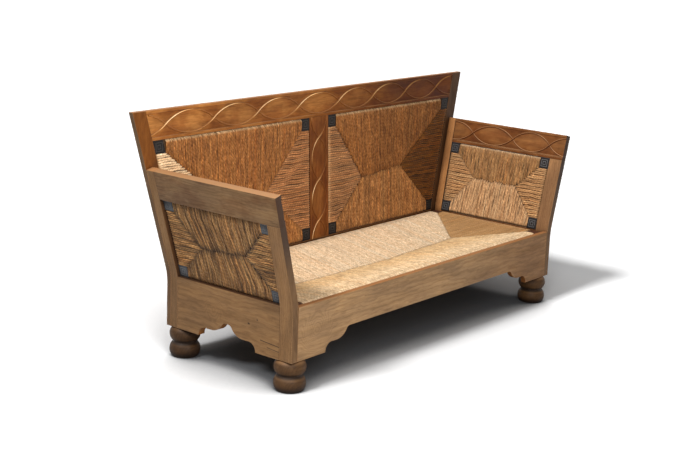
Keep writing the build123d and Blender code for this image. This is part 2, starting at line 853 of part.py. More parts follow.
seat_area = (seat_left_edge, seat_right_edge, seat_front_y, seat_rear_y)
seat_corners = block_strips(*seat_area, seat_block)
seat_rails = rail_strips(*seat_area, seat_block, seat_rail_width)
seat_rail_depth = (seat_thickness - seat_rail_thickness) / 2
seat_rail_set = lay_seat(seat_rail_depth, seat_rail_thickness, seat_rails)
for name, points in zip(("front", "rear", "left", "right"), seat_rails):
    save(lay_seat(seat_rail_depth, seat_rail_thickness, [points]), "seat_rail_" + name)
seat_block_height = seat_thickness - seat_block_recess
save(
    corner_blocks(lay_seat, seat_block_recess, seat_block_height, seat_corners, seat_rail_set, None),
    "seat_blocks",
)
seat_rush = rush_form(
    lay_seat,
    0,
    seat_thickness,
    strip(seat_left_edge, 0, seat_right_edge, 0, seat_front_y, seat_rear_y),
    seat_corners,
    seat_rail_set,
    weave_bands(*seat_area, seat_block, seat_apex_share, seat_apex_share, seat_ridge_share),
)
save(seat_rush, "seat_rush")
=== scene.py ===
import bmesh
import bpy
import numpy as np
from math import cos, radians, sin, sqrt, tan
from mathutils import Matrix, Vector


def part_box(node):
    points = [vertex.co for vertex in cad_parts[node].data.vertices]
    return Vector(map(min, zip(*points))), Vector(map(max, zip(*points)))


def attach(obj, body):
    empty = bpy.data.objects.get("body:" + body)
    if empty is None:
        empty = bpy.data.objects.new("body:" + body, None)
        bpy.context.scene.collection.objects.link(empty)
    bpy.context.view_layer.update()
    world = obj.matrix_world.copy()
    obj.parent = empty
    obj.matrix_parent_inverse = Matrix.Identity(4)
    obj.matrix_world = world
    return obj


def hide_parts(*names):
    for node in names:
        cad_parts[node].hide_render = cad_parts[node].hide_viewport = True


# A sofa bench of oak with rush panels. Metres, front towards -Y, length along X, up along Z.
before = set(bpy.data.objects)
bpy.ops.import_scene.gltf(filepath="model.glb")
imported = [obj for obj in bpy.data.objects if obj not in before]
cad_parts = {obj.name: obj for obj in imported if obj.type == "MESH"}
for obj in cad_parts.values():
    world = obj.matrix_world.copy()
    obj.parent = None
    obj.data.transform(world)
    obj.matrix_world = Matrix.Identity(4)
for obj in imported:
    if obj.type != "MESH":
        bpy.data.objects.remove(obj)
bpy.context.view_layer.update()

# Front rail
# A wide oak board between the two ends, with an ogee bracket cut at each end of its lower edge.
# Its face has gone grey-brown, and its top edge is worn to orange by legs, its upward face lighter also as painted
# light from above. It darkens towards the right end, a painted shade of light falling off.
OUTER_OAK = (0.178, 0.097, 0.041)
WORN_AND_TOPLIT_OAK = (0.44, 0.205, 0.080)
CRACK_DIRT = (0.022, 0.014, 0.009)
HANDLING_DIRT_AND_SHADE = (0.036, 0.019, 0.011)
NOOK_SHADE_AND_DIRT = (0.22, 0.16, 0.13)
RING_RATE = 820.0
ALONG_X = (0.0, 0.0, 0.0)
FRONTWARD = (0.0, -1.0, 0.0)


def add_node(tree, kind, inputs, **options):
    """Adds a shader node, sets its options, and fills or links its sockets."""
    node = tree.nodes.new("ShaderNode" + kind)
    for option, value in options.items():
        setattr(node, option, value)
    for socket, value in inputs.items():
        if isinstance(value, bpy.types.NodeSocket):
            tree.links.new(value, node.inputs[socket])
        else:
            node.inputs[socket].default_value = value
    return node


def maths(tree, operation, *values):
    """Result of a sum on numbers."""
    return add_node(tree, "Math", dict(enumerate(values)), operation=operation).outputs[0]


def vectors(tree, operation, *values):
    """Result of a sum on vectors, which may be a number."""
    outputs = add_node(tree, "VectorMath", dict(enumerate(values)), operation=operation).outputs
    return outputs["Value" if operation in ("LENGTH", "DISTANCE", "DOT_PRODUCT") else "Vector"]


def new_finish(name):
    """A material with an empty tree but for its surface shader."""
    material = bpy.data.materials.new(name)
    material.use_nodes = True
    tree = material.node_tree
    return material, tree, tree.nodes["Principled BSDF"]


def blend(tree, share, first, second, mode="MIX"):
    """Colour between two, by a share from 0 to 1."""
    inputs = {0: share, 6: first, 7: second}
    for socket in (6, 7):
        if not isinstance(inputs[socket], bpy.types.NodeSocket):
            inputs[socket] = (*inputs[socket], 1.0)
    return add_node(tree, "Mix", inputs, data_type="RGBA", blend_type=mode).outputs[2]


def remap(tree, value, low, high, to_low=0.0, to_high=1.0, smooth=True):
    """A value carried from one range to another and held inside it."""
    kind = "SMOOTHSTEP" if smooth else "LINEAR"
    inputs = {"Value": value, 1: low, 2: high, 3: to_low, 4: to_high}
    return add_node(tree, "MapRange", inputs, interpolation_type=kind).outputs[0]


def stretched_noise(tree, place, stretch, scale, detail, roughness=0.6):
    """Cloudy noise drawn out along a board's grain."""
    drawn = vectors(tree, "MULTIPLY", place, stretch)
    inputs = {"Vector": drawn, "Scale": scale, "Detail": detail, "Roughness": roughness}
    return add_node(tree, "TexNoise", inputs).outputs["Fac"]


def facing(tree, direction):
    """How far the surface faces a direction, from 0 to 1."""
    normal = add_node(tree, "NewGeometry", {}).outputs["Normal"]
    return remap(tree, vectors(tree, "DOT_PRODUCT", normal, direction), 0.35, 0.8)


def rounded_edges(tree, radius):
    """Where the surface turns a corner, from 0 on the flat to 1 on the arris."""
    soft = add_node(tree, "Bevel", {"Radius": radius}, samples=4).outputs[0]
    true = add_node(tree, "NewGeometry", {}).outputs["Normal"]
    return remap(tree, vectors(tree, "DOT_PRODUCT", soft, true), 0.995, 0.86)


def oak_finish(
    name, turn, seed, inner, outer=OUTER_OAK, outward=None, knots=(), side_dark=None, carved=False, top=WORN_AND_TOPLIT_OAK,
    splits=(), falloff_shade=None, nook_shade=(0.035, 0.75),
):
    """Old oiled oak. turn brings the grain onto X, outward is the weathered side, knots are places,
    with a radius, that the grain swirls round, and side_dark is a side, a height range and a depth
    over which faces that look that way darken, as handling dirt and as painted shade. top is the
    tone of worn edges and of faces that look up, wear together with painted light from above (on
    the end boards a painted shade, on the feet a painted highlight), splits are cracks and joints,
    falloff_shade is a stretch of X over which the oak takes on a darker tint, a painted shade of
    light falling off, and nook_shade is how wide and deep corners are darkened, a painted shade
    together with dirt."""
    material, tree, surface = new_finish(name)
    bench = add_node(tree, "TexCoord", {}).outputs["Object"]
    shift = (seed, seed * 1.7, seed * 0.6)
    place = add_node(tree, "Mapping", {"Vector": bench, "Rotation": turn, "Location": shift}).outputs[0]
    streaks = stretched_noise(tree, place, (0.06, 1, 1), 60.0, 6.0, 0.7)
    fibres = stretched_noise(tree, place, (0.025, 1, 1), 420.0, 3.0)
    pores = stretched_noise(tree, place, (0.03, 1, 1), 800.0, 1.0)
    clouds = stretched_noise(tree, place, (0.45, 1, 1), 6.0, 4.0)
    blotches = stretched_noise(tree, place, (0.28, 1, 1), 24.0, 3.0)

    # growth rings, as shells round a pith that runs a little askew behind the board
    pith = vectors(tree, "ADD", vectors(tree, "MULTIPLY", place, (0.1, 1, 1)), (0.0, 0.11, 0.07))
    rings = maths(tree, "MULTIPLY_ADD", clouds, 0.055, vectors(tree, "LENGTH", pith))
    for spot, radius in knots:
        near = vectors(tree, "DISTANCE", bench, spot)
        rings = maths(tree, "ADD", rings, remap(tree, near, 0.0, radius, radius * 0.75, 0.0))
    wave = maths(tree, "SINE", maths(tree, "MULTIPLY", rings, RING_RATE))
    late_wood = remap(tree, wave, -0.2, 1.0)

    # each mark has the range in which it shows, how strongly, and what it does to the tone
    marks = [
        (streaks, 0.32, 0.66, 0.52, (0.58, 0.54, 0.50)),
        (late_wood, 0.0, 1.0, 0.26, (0.50, 0.42, 0.36)),
        (clouds, 0.36, 0.64, 0.66, (0.58, 0.57, 0.60)),
        (blotches, 0.36, 0.70, 0.55, (1.40, 1.40, 1.33)),
        (fibres, 0.38, 0.62, 0.30, (1.35, 1.32, 1.25)),
        (pores, 0.58, 0.70, 0.50, (0.30, 0.24, 0.20)),
    ]
    if carved:
        stains = stretched_noise(tree, place, (0.7, 1, 1), 13.0, 3.0, 0.65)
        marks.append((stains, 0.40, 0.62, 0.75, (0.66, 0.52, 0.42)))
    colour = blend(tree, facing(tree, outward), inner, outer) if outward else inner
    for mark, low, high, share, shade in marks:
        colour = blend(tree, remap(tree, mark, low, high, 0.0, share), colour, shade, "MULTIPLY")
    if carved:
        # painted light and shade of the carved face, stored on its points
        carving_painted_light = add_node(tree, "Attribute", {}, attribute_name="carving_painted_light").outputs["Color"]
        colour = blend(tree, 1.0, colour, carving_painted_light, "MULTIPLY")
    # painted shade: the tone darkens towards +X, for light falling off to the right
    if falloff_shade:
        from_x, to_x, tint = falloff_shade
        across = add_node(tree, "SeparateXYZ", {0: bench}).outputs["X"]
        colour = blend(tree, remap(tree, across, from_x, to_x, 0.0, 1.0), colour, tint, "MULTIPLY")
    arris = remap(tree, clouds, 0.35, 0.6, *((0.05, 0.20) if carved else (0.25, 0.75)))
    arris = maths(tree, "MULTIPLY", rounded_edges(tree, 0.003), arris)
    # upward faces and worn arrises take the top tone: wear, with painted light from above on the upward faces
    worn = maths(tree, "MAXIMUM", maths(tree, "MULTIPLY", facing(tree, (0, 0, 1)), 0.75), arris)
    colour = blend(tree, worn, colour, top)
    for begin, finish_at, width in splits:
        run = Vector(finish_at) - Vector(begin)
        from_begin = vectors(tree, "SUBTRACT", bench, begin)
        share = vectors(tree, "DOT_PRODUCT", from_begin, run / run.length_squared)
        share = remap(tree, share, 0.0, 1.0, smooth=False)
        reached = add_node(tree, "VectorMath", {0: run, "Scale": share}, operation="SCALE").outputs[0]
        wavy = maths(tree, "MULTIPLY_ADD", streaks, 0.002, -0.001)
        gap = maths(tree, "ADD", vectors(tree, "DISTANCE", from_begin, reached), wavy)
        colour = blend(tree, remap(tree, gap, width * 0.4, width, 0.9, 0.0), colour, CRACK_DIRT)
    # faces that look one way are darkened from a height up: handling dirt on the front posts, painted shade on the
    # rear posts
    if side_dark:
        darkened, from_z, to_z, depth = side_dark
        height = add_node(tree, "SeparateXYZ", {0: bench}).outputs["Z"]
        side_dark_share = maths(tree, "MULTIPLY", remap(tree, height, from_z, to_z, 0.0, depth), facing(tree, darkened))
        colour = blend(tree, side_dark_share, colour, HANDLING_DIRT_AND_SHADE)
    nook_size, nook_depth = nook_shade
    # painted shade together with dirt: ambient occlusion darkens corners, creases and reveals
    corner_shade = add_node(tree, "AmbientOcclusion", {"Distance": nook_size}, samples=6).outputs["AO"]
    colour = blend(tree, remap(tree, corner_shade, 0.35, 0.9, nook_depth, 0.0), colour, NOOK_SHADE_AND_DIRT, "MULTIPLY")
    tree.links.new(colour, surface.inputs["Base Color"])
    tree.links.new(remap(tree, streaks, 0.3, 0.7, 0.45, 0.62, False), surface.inputs["Roughness"])
    surface.inputs["Specular IOR Level"].default_value = 0.14
    relief = maths(tree, "MULTIPLY_ADD", streaks, 0.8, maths(tree, "MULTIPLY_ADD", pores, -0.7, fibres))
    bump = add_node(tree, "Bump", {"Height": relief, "Strength": 0.3, "Distance": 0.0006}).outputs[0]
    tree.links.new(bump, surface.inputs["Normal"])
    return material


def dress(node, material):
    """Gives a piece of the frame its finish."""
    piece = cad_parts[node]
    if not piece.material_slots:
        piece.data.materials.append(material)
    for place in piece.material_slots:
        place.material = material


INNER_OAK = (0.235, 0.096, 0.028)
rail_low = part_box("front_rail")[0]
swirl_spot = (rail_low.x + 0.115, rail_low.y, rail_low.z + 0.085)
finish = oak_finish(
    "front_rail_oak", ALONG_X, 3.1, INNER_OAK, (0.370, 0.220, 0.104), FRONTWARD, [(swirl_spot, 0.09)],
    falloff_shade=(0.1, 0.8, (0.86, 0.74, 0.62)), top=(0.38, 0.165, 0.058),
)
dress("front_rail", finish)

# End boards
# The low board under each arm, shaped like the front rail, with a peak in the middle of its edge.
# It goes from the top of the feet up to where the posts bend outward.
ALONG_Y = (0.0, 0.0, radians(-90))
SIDES = (("left", -1), ("right", 1))
side_x = 0.800
bend_z = 0.298
foot_height = 0.110
for side, sign in SIDES:
    low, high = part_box("end_apron_" + side)
    face = sign * side_x
    splits = [
        ((face, -0.248, 0.154), (face, -0.165, 0.160), 0.0024),
        ((face, -0.247, 0.137), (face, -0.195, 0.141), 0.0016),
        ((face, -0.112, 0.205), (face, -0.108, 0.206), 0.0042),
        ((face, -0.150, 0.226), (face, -0.147, 0.226), 0.0026),
    ]
    splits += [((face, y, foot_height), (face, y, bend_z), 0.0016) for y in (low.y, high.y)]
    # the end boards' upward faces and arrises take a near-black top tone, a painted shade along the gap under the
    # arm panels
    finish = oak_finish(
        "end_apron_oak_" + side, ALONG_Y, 5.3 * sign, INNER_OAK, outward=(sign, 0, 0),
        knots=[((face, 0.055, 0.222), 0.05)], top=(0.045, 0.028, 0.018), splits=splits,
    )
    dress("end_apron_" + side, finish)

# Posts of the ends
# Four uprights, bent outward above the base, tenoned for the end boards and the arm rails. The
# front edges of the front pair are dark from handling, and the forward faces of the rear pair are
# darkened from about seat height up, a painted shade in the reveals beside the panels.
flare = radians(14.8)
for side, sign in SIDES:
    upright = (0.0, radians(90) - sign * 0.6 * flare, 0.0)
    finish = oak_finish(
        "front_post_oak_" + side, upright, 7.7 * sign, (0.285, 0.146, 0.063), outward=(0.72 * sign, -0.69, 0),
        side_dark=(FRONTWARD, 0.27, 0.56, 0.95), top=(0.32, 0.185, 0.088),
    )
    dress("front_post_" + side, finish)
    # the rear posts' forward faces, from about seat height up, are darkened as painted shade in the narrow reveals
    # beside the panels
    finish = oak_finish(
        "rear_post_oak_" + side, upright, 9.1 * sign, (0.47, 0.215, 0.075), outward=(sign, 0, 0),
        side_dark=(FRONTWARD, 0.24, 0.30, 0.8),
    )
    dress("rear_post_" + side, finish)

# Arm rails
# The wide flaring board on top of each end, plain outside and carved inside with two beads that
# pass over and under each other. The ground is cut back, and swells up inside each loop.
CARVE_DEPTH = 0.0032
BEAD_WIDTH = 0.0062
BEAD_TOP = 0.0001
BEAD_STEP = 0.005
LINE_HALF = 0.0022
CROSSING_REACH = 0.0075
END_GAP = 0.0002
BORDER = 0.0095
BORDER_SLOPE = 0.0022
GRID_STEP = 0.0045
ARRIS = 0.0015
CARVED_NOOK_SHADE = (0.012, 0.75)
end_thickness = 0.029
front_y = -0.30501
lean = tan(radians(2.86))


def swing_of(chord, reach, along):
    """How far a bead stands off its middle line, on an arc over a chord."""
    radius = (chord * chord / 4 + reach * reach) / (2 * reach)
    return np.sqrt(radius * radius - (along - chord / 2) ** 2) - (radius - reach)


def bead_swing(crossings, reach, along):
    """Swing of the first bead at places along a board, to one side and the other in turn."""
    crossings = np.asarray(crossings)
    step = np.clip(np.searchsorted(crossings, along) - 1, 0, len(crossings) - 2)
    start = crossings[step]
    chord = crossings[step + 1] - start
    side = np.where(step % 2 == 0, 1.0, -1.0)
    return side * swing_of(chord, reach, along - start)


def put(name, data):
    """A new object, put into the scene."""
    thing = bpy.data.objects.new(name, data)
    bpy.context.scene.collection.objects.link(thing)
    return thing


def new_piece(name, points, faces, material, sharp=radians(32), mend=True):
    """A mesh object with smooth faces and sharp corners."""
    mesh = bpy.data.meshes.new(name)
    mesh.from_pydata(points, [], faces)
    if mend:
        solid = bmesh.new()
        solid.from_mesh(mesh)
        bmesh.ops.recalc_face_normals(solid, faces=solid.faces)
        solid.to_mesh(mesh)
        solid.free()
    mesh.shade_smooth()
    mesh.set_sharp_from_angle(angle=sharp)
    mesh.materials.append(material)
    return put(name, mesh)


def paint_points(piece, name, tone):
    """Stores a colour for each point of a piece, for its finish to use."""
    colours = piece.data.color_attributes.new(name, "FLOAT_COLOR", "POINT")
    colours.data.foreach_set("color", tone.astype(np.float32).ravel())


def spread(low, high, step, extra=()):
    """Places from one edge of a board to the other, with the few that its rounded edges need."""
    edges = [0.0, 0.0003, 0.0008, ARRIS, *extra]
    middle = np.linspace(low + edges[-1], high - edges[-1], max(3, round((high - low) / step)))
    return np.concatenate([[low + e for e in edges[:-1]], middle, [high - e for e in edges[-2::-1]]])


def ground_of(along, across, width, crossings, reach, start, end):
    """Depth below the face of the carved ground, and its tone, a painted light and shade: lighter on the swell
    inside each loop, darker where the ground is cut back outside the beads.
    """
    to_edge = np.minimum(np.minimum(across, width - across), np.minimum(along - start, end - along))
    turn = np.clip(ARRIS - to_edge, 0.0, ARRIS)
    depth = ARRIS - np.sqrt(ARRIS * ARRIS - turn * turn)
    inside = np.minimum(across, width - across) - BORDER
    cut = np.clip(inside / BORDER_SLOPE, 0.0, 1.0)
    swing = np.abs(bead_swing(crossings, reach, along)) + 1e-6
    off_middle = np.abs(across - width / 2)
    swell = (1.0 - np.clip(off_middle / swing, 0.0, 1.0) ** 2) * np.clip(swing / reach, 0.0, 1.0)
    outside = np.clip((off_middle - swing) / reach, 0.0, 1.0)
    tone = np.clip(0.98 + 0.26 * swell - 0.7 * outside, 0.68, 1.3)
    tone = 1.0 + cut * (tone - 1.0)
    return depth + cut * (CARVE_DEPTH - 0.0019 * swell - 0.0006 * outside), tone


def add_bead(points, tones, faces, place, along, middle, half, top, skirt, pale):
    """Adds a half-round bead along a line of the face, with its skirts sunk in the ground. skirt is
    the tone of its foot, a painted shade, and pale is how much painted highlight its crown takes
    along the way, or, below nought, how much painted shade. The highlight shows on the very crown,
    and the points sunk under the skirts are dark, a painted shade."""
    profile = np.array([-1.0, -0.9, -0.66, -0.35, 0.0, 0.35, 0.66, 0.9, 1.0])
    crown = np.sqrt(1.0 - profile**2)
    slope = np.gradient(middle, along)
    length = np.sqrt(1.0 + slope * slope)
    run = along[:, None] - half * profile * (slope / length)[:, None]
    beside = middle[:, None] + half * profile / length[:, None]
    deep = top[:, None] + (CARVE_DEPTH + 0.0002 - top[:, None]) * (1.0 - crown)
    run = np.concatenate([run, run[:, [-1, 0]]], axis=1)
    beside = np.concatenate([beside, beside[:, [-1, 0]]], axis=1)
    deep = np.concatenate([deep, np.full((len(along), 2), CARVE_DEPTH + 0.0022)], axis=1)
    ring = len(profile) + 2
    index = len(points) + np.arange(len(along) * ring).reshape(len(along), ring)
    points += place(run.ravel(), beside.ravel(), deep.ravel()).tolist()
    foot = skirt[:, None]
    narrow = 12 if pale.max() > 0.0 else 1
    tone = foot + crown * (1.0 - foot) + crown**narrow * pale[:, None]
    tones += np.concatenate([tone, np.full((len(along), 2), 0.4)], axis=1).ravel().tolist()
    beyond = np.roll(index, -1, axis=1)
    faces += np.stack([index[:-1], index[1:], beyond[1:], beyond[:-1]], axis=-1).reshape(-1, 4).tolist()
    faces += [index[0].tolist(), index[-1][::-1].tolist()]


def carved_board(name, place, ends, width, thickness, crossings, lines, painted_light, material):
    """A board with its face carved. place(along, across, depth) gives points of the bench, and
    lines are the places across it of the thin straight beads. painted_light says how much painted
    highlight the beads' crowns take or, below nought, how much painted shade, whether where they
    rise or fall, and on which half. The ground and the beads carry a tone of painted light and shade."""
    crown_light, climb, half_side = painted_light
    reach = width / 2 - BORDER - BEAD_WIDTH / 2
    across = spread(0.0, width, GRID_STEP, (BORDER, BORDER + BORDER_SLOPE / 2, BORDER + BORDER_SLOPE))
    longest = max(end - start for start, end in (ends(0.0), ends(width)))
    shares = spread(0.0, longest, GRID_STEP) / longest
    share_grid, across_grid = np.meshgrid(shares, across, indexing="ij")
    start, end = ends(across_grid)
    along_grid = start + share_grid * (end - start)
    depth, tone = ground_of(along_grid, across_grid, width, crossings, reach, start, end)
    points = place(along_grid.ravel(), across_grid.ravel(), depth.ravel()).tolist()
    tones = tone.ravel().tolist()
    number = np.arange(along_grid.size).reshape(along_grid.shape)
    faces = np.stack([number[:-1, :-1], number[1:, :-1], number[1:, 1:], number[:-1, 1:]], axis=-1)
    faces = faces.reshape(-1, 4).tolist()
    loops = []
    for turn in np.radians([0, 30, 60, 90]):
        inset = ARRIS * (1 - cos(turn))
        level = thickness - ARRIS * (1 - sin(turn))
        loop = []
        for at_end, at_width in ((0, 0), (1, 0), (1, 1), (0, 1)):
            beside = width - inset if at_width else inset
            first, last = ends(beside)
            run = last - inset if at_end else first + inset
            loop.append(len(points))
            points += place(np.array([run]), np.array([beside]), np.array([level])).tolist()
            tones.append(1.0)
        loops.append(loop)
    rims = (number[:, 0], number[-1, :], number[::-1, -1], number[0, ::-1])
    for corner, rim in enumerate(rims):
        faces.append([*rim.tolist(), loops[0][(corner + 1) % 4], loops[0][corner]])
    for loop, beyond in zip(loops, loops[1:]):
        faces += [[loop[c], loop[(c + 1) % 4], beyond[(c + 1) % 4], beyond[c]] for c in range(4)]
    faces.append(loops[-1])

    # the two winding beads, which take turns on top, then the straight ones
    low, high = ends(width / 2)
    along = np.linspace(low + END_GAP, high - END_GAP, round((high - low) / BEAD_STEP))
    near = np.exp(-((along[:, None] - np.asarray(crossings)) / CROSSING_REACH) ** 2).sum(axis=1)
    for side in (1.0, -1.0):
        swing = side * bead_swing(crossings, reach, along)
        slope = np.gradient(swing, along) * climb
        top = BEAD_TOP + near * np.where(slope > 0, -0.0004, 0.0024)
        # painted light on the beads: their crowns take a painted highlight, or below nought a painted shade, by
        # where they rise and on which half, and their skirts a painted shade
        rising = np.clip(0.25 + 1.7 * slope / np.sqrt(1.0 + slope * slope), 0.0, 1.0)
        favour = np.clip(0.55 + 0.9 * half_side * swing / reach, 0.08, 1.0)
        patchy = 0.8 + 0.2 * np.sin(47 * along + side) * np.sin(19 * along + 2)
        pale = crown_light * rising * favour * patchy if crown_light > 0.0 else crown_light * (0.75 + 0.25 * rising)
        skirt = 0.34 + 0.34 * (1.0 - rising) * (crown_light < 0.0)
        add_bead(points, tones, faces, place, along, width / 2 + swing, BEAD_WIDTH / 2, top, skirt, pale)
    for line in lines:
        low, high = ends(line)
        along = np.linspace(low + END_GAP, high - END_GAP, 12)
        middle, top, skirt, pale = (np.full(12, value) for value in (line, BEAD_TOP, 0.45, 0.3))
        add_bead(points, tones, faces, place, along, middle, LINE_HALF, top, skirt, pale)
    board = new_piece(name, points, faces, material)
    paint_points(board, "carving_painted_light", np.array(tones)[:, None] ** np.array([0.7, 1.0, 1.4, 0.0]))
    return board


ARM_CROSSINGS = (-0.418, -0.231, -0.052, 0.150, 0.342)
arm_height = 0.282
arm_low = arm_height / cos(flare)
arm_width = 0.104
arm_panel_rear_y = 0.231
base_depth = 0.590
back_thickness = 0.020
stile_width = 0.057
rear_post_width = 0.034
rear_post_y = front_y + base_depth - back_thickness - rear_post_width


def arm_ends(across):
    """Where an arm rail starts and stops."""
    z = bend_z + (arm_low + across) * cos(flare)
    return front_y + 0.0 * z, rear_post_y + (z - bend_z) * lean


for side, sign in SIDES:

    def arm_place(along, across, depth, sign=sign):
        """Point of an arm rail: along from front to rear, across upward, depth from the inner face."""
        inset = end_thickness - depth
        up = arm_low + across
        x = side_x - inset * cos(flare) + up * sin(flare)
        z = bend_z + inset * sin(flare) + up * cos(flare)
        return np.stack([sign * x, along, z], axis=-1)

    foot_x, foot_z = sign * (side_x + arm_low * sin(flare)), bend_z + arm_height
    spans = ((front_y, front_y + stile_width), (arm_panel_rear_y, arm_panel_rear_y + 0.027))
    joints = [((foot_x, begin, foot_z), (foot_x, end, foot_z), 0.0022) for begin, end in spans]
    finish = oak_finish(
        "arm_rail_oak_" + side, ALONG_Y, 12.3 + sign, (0.205, 0.078, 0.021), (0.160, 0.093, 0.043),
        outward=(sign, 0, 0), side_dark=(FRONTWARD, 0.2, 0.25, 0.93), carved=True, top=(0.45, 0.235, 0.105),
        splits=joints, nook_shade=CARVED_NOOK_SHADE,
    )
    rail = carved_board(
        "arm_rail_board_" + side, arm_place, arm_ends, arm_width, end_thickness, ARM_CROSSINGS, (0.0125,),
        (-0.52, -1, 0), finish,
    )
    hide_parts("arm_rail_" + side)
    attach(rail, "frame")

# Back muntin
# The carved upright between the two back panels, under the top rail.
BACK_OAK = (0.275, 0.090, 0.0175)
UPRIGHT = (0.0, radians(90), 0.0)
back_y = 0.26499
muntin_width = 0.110
top_rail_low = 0.775


def muntin_place(along, across, depth):
    """Point of the muntin: upward, across, and depth from its front."""
    return np.stack([across - muntin_width / 2, back_y + (along - bend_z) * lean + depth, along], axis=-1)


muntin = carved_board(
    "back_muntin_board", muntin_place, lambda across: (bend_z + 0 * across, top_rail_low + 0 * across),
    muntin_width, back_thickness, (0.21, 0.370, 0.529, 0.694, 0.85), (0.0095, 0.1005), (19.0, 1, -1),
    oak_finish("muntin_oak", UPRIGHT, 21.7, BACK_OAK, carved=True, nook_shade=CARVED_NOOK_SHADE),
)
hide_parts("back_muntin")
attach(muntin, "frame")

# Top rail of the back
# The long carved rail between the stiles, with the same two beads from end to end. It darkens towards its right
# end, a painted shade of light falling off.
top_rail_width = 0.104


def top_place(along, across, depth):
    """Point of the top rail: along, upward, and depth from its front."""
    z = top_rail_low + across
    return np.stack([along, back_y + (z - bend_z) * lean + depth, z], axis=-1)


def top_ends(across):
    """Half the rail's length, which grows with the flare."""
    half = side_x + (top_rail_low + across - bend_z) * tan(flare) - stile_width / cos(flare)
    return -half, half


top_rail = carved_board(
    "back_top_rail_board", top_place, top_ends, top_rail_width, back_thickness,
    (-1.03, -0.804, -0.570, -0.340, -0.114, 0.123, 0.337, 0.552, 0.770, 1.0),
    (0.0095,), (15.0, 1, 1),
    oak_finish(
        "top_rail_oak", ALONG_X, 25.1, (0.46, 0.180, 0.043), carved=True, falloff_shade=(-0.42, 0.80, (0.28, 0.18, 0.06)),
        nook_shade=CARVED_NOOK_SHADE,
    ),
)
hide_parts("back_top_rail")
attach(top_rail, "frame")

# Back stiles
# The two outer uprights of the back, plain, which flare with the ends and carry the top rail's
# tenons. Their outer edges have darkened.
# the right stile is given a much darker tone than the left, a painted shade
for (side, sign), inner in zip(SIDES, ((0.205, 0.066, 0.010), (0.085, 0.039, 0.015))):
    finish = oak_finish("stile_oak_" + side, UPRIGHT, 33.0 + sign, inner, (0.11, 0.062, 0.03), (sign, 0, 0))
    dress("back_stile_" + side, finish)

# Rear rail
# The plain board that closes the base behind, under the back panels, tenoned into the rear posts.
dress("rear_rail", oak_finish("rear_rail_oak", ALONG_X, 41.0, INNER_OAK))

# Feet and the blocks they stand under
# Turned feet, a ring over a ball, each dowelled into a plain block that is glued in a corner of
# the base. The groove and the bottom by the floor are almost black, a painted shade, the upward
# faces are paler, a painted highlight, and the rear pair are darker all over, a painted shade
# under the bench.
PLAIN_OAK = (0.16, 0.09, 0.045)
foot_groove_z = 0.055
plain_oak = oak_finish("plain_oak", ALONG_X, 52.0, PLAIN_OAK, top=PLAIN_OAK)
for end, seed, inner, top in (
    ("front", 44.0, (0.078, 0.038, 0.0140), (0.26, 0.135, 0.058)),
    ("rear", 46.0, (0.046, 0.022, 0.0080), (0.11, 0.055, 0.022)),
):
    foot_oak = oak_finish("foot_oak_" + end, ALONG_X, seed, inner, top=top, nook_shade=(0.055, 1.0))
    tree = foot_oak.node_tree
    finished = tree.nodes["Principled BSDF"].inputs["Base Color"]
    place = add_node(tree, "TexCoord", {}).outputs["Object"]
    height = add_node(tree, "SeparateXYZ", {0: place}).outputs["Z"]
    # painted shade in the groove and where the foot meets the floor
    off = maths(tree, "ABSOLUTE", maths(tree, "SUBTRACT", height, foot_groove_z))
    groove_shade = remap(tree, off, 0.0035, 0.013, 0.92, 0.0)
    floor_contact_shade = remap(tree, height, 0.0, 0.020, 0.75, 0.0)
    colour = blend(tree, groove_shade, finished.links[0].from_socket, (0.014, 0.008, 0.005))
    tree.links.new(blend(tree, floor_contact_shade, colour, (0.016, 0.010, 0.006)), finished)
    for side, _ in SIDES:
        dress("foot_%s_%s" % (end, side), foot_oak)
        dress("base_block_%s_%s" % (end, side), plain_oak)

# Cleats that carry the seat
# Strips round the inside of the base and a bearer across its middle. The loose seat rests on them.
for end in ("front", "rear", "left", "right"):
    dress("seat_cleat_" + end, plain_oak)
dress("seat_bearer", plain_oak)

# Screws
# Old slotted steel screws that hold the cleats, gone dull and brown.
material, tree, surface = new_finish("screw_steel")
spot = add_node(tree, "TexCoord", {}).outputs["Object"]
rust = stretched_noise(tree, spot, (1, 1, 1), 260.0, 4.0)
rusty = blend(tree, remap(tree, rust, 0.42, 0.62), (0.30, 0.27, 0.24), (0.10, 0.05, 0.03))
tree.links.new(rusty, surface.inputs["Base Color"])
tree.links.new(remap(tree, rust, 0.4, 0.65, 0.38, 0.75), surface.inputs["Roughness"])
surface.inputs["Metallic"].default_value = 0.8
dress("cleat_screws", material)

# Frames inside the rush
# Each panel and the seat have four light rails under the cords, joined at the corners by blocks,
# which are painted black on the panels. Dowels hold the panels in their openings.
# painted reflection: the blue-grey tone below is a sheen given to the outward faces and tops of the arm panels'
# blocks
painted_sheen_slate = (0.060, 0.066, 0.076)
block_black = oak_finish("block_black", ALONG_X, 48.0, (0.018, 0.015, 0.014), top=(0.05, 0.04, 0.035))
for side, sign in SIDES:
    for rail in ("bottom", "top", "front", "rear"):
        dress("arm_panel_%s_rail_%s" % (side, rail), plain_oak)
    for rail in ("bottom", "top", "inner", "outer"):
        dress("back_panel_%s_rail_%s" % (side, rail), plain_oak)
    painted_sheen_finish = oak_finish("painted_sheen_block_" + side, ALONG_X, 49.0, (0.018, 0.015, 0.014), painted_sheen_slate, (sign, 0, 0), top=painted_sheen_slate)
    dress("arm_panel_%s_blocks" % side, painted_sheen_finish)
    dress("back_panel_%s_blocks" % side, block_black)
for end in ("front", "rear", "left", "right"):
    dress("seat_rail_" + end, plain_oak)
dress("seat_blocks", oak_finish("seat_block_oak", ALONG_X, 50.0, (0.035, 0.018, 0.011), top=(0.10, 0.036, 0.018)))
dress("panel_dowels", plain_oak)

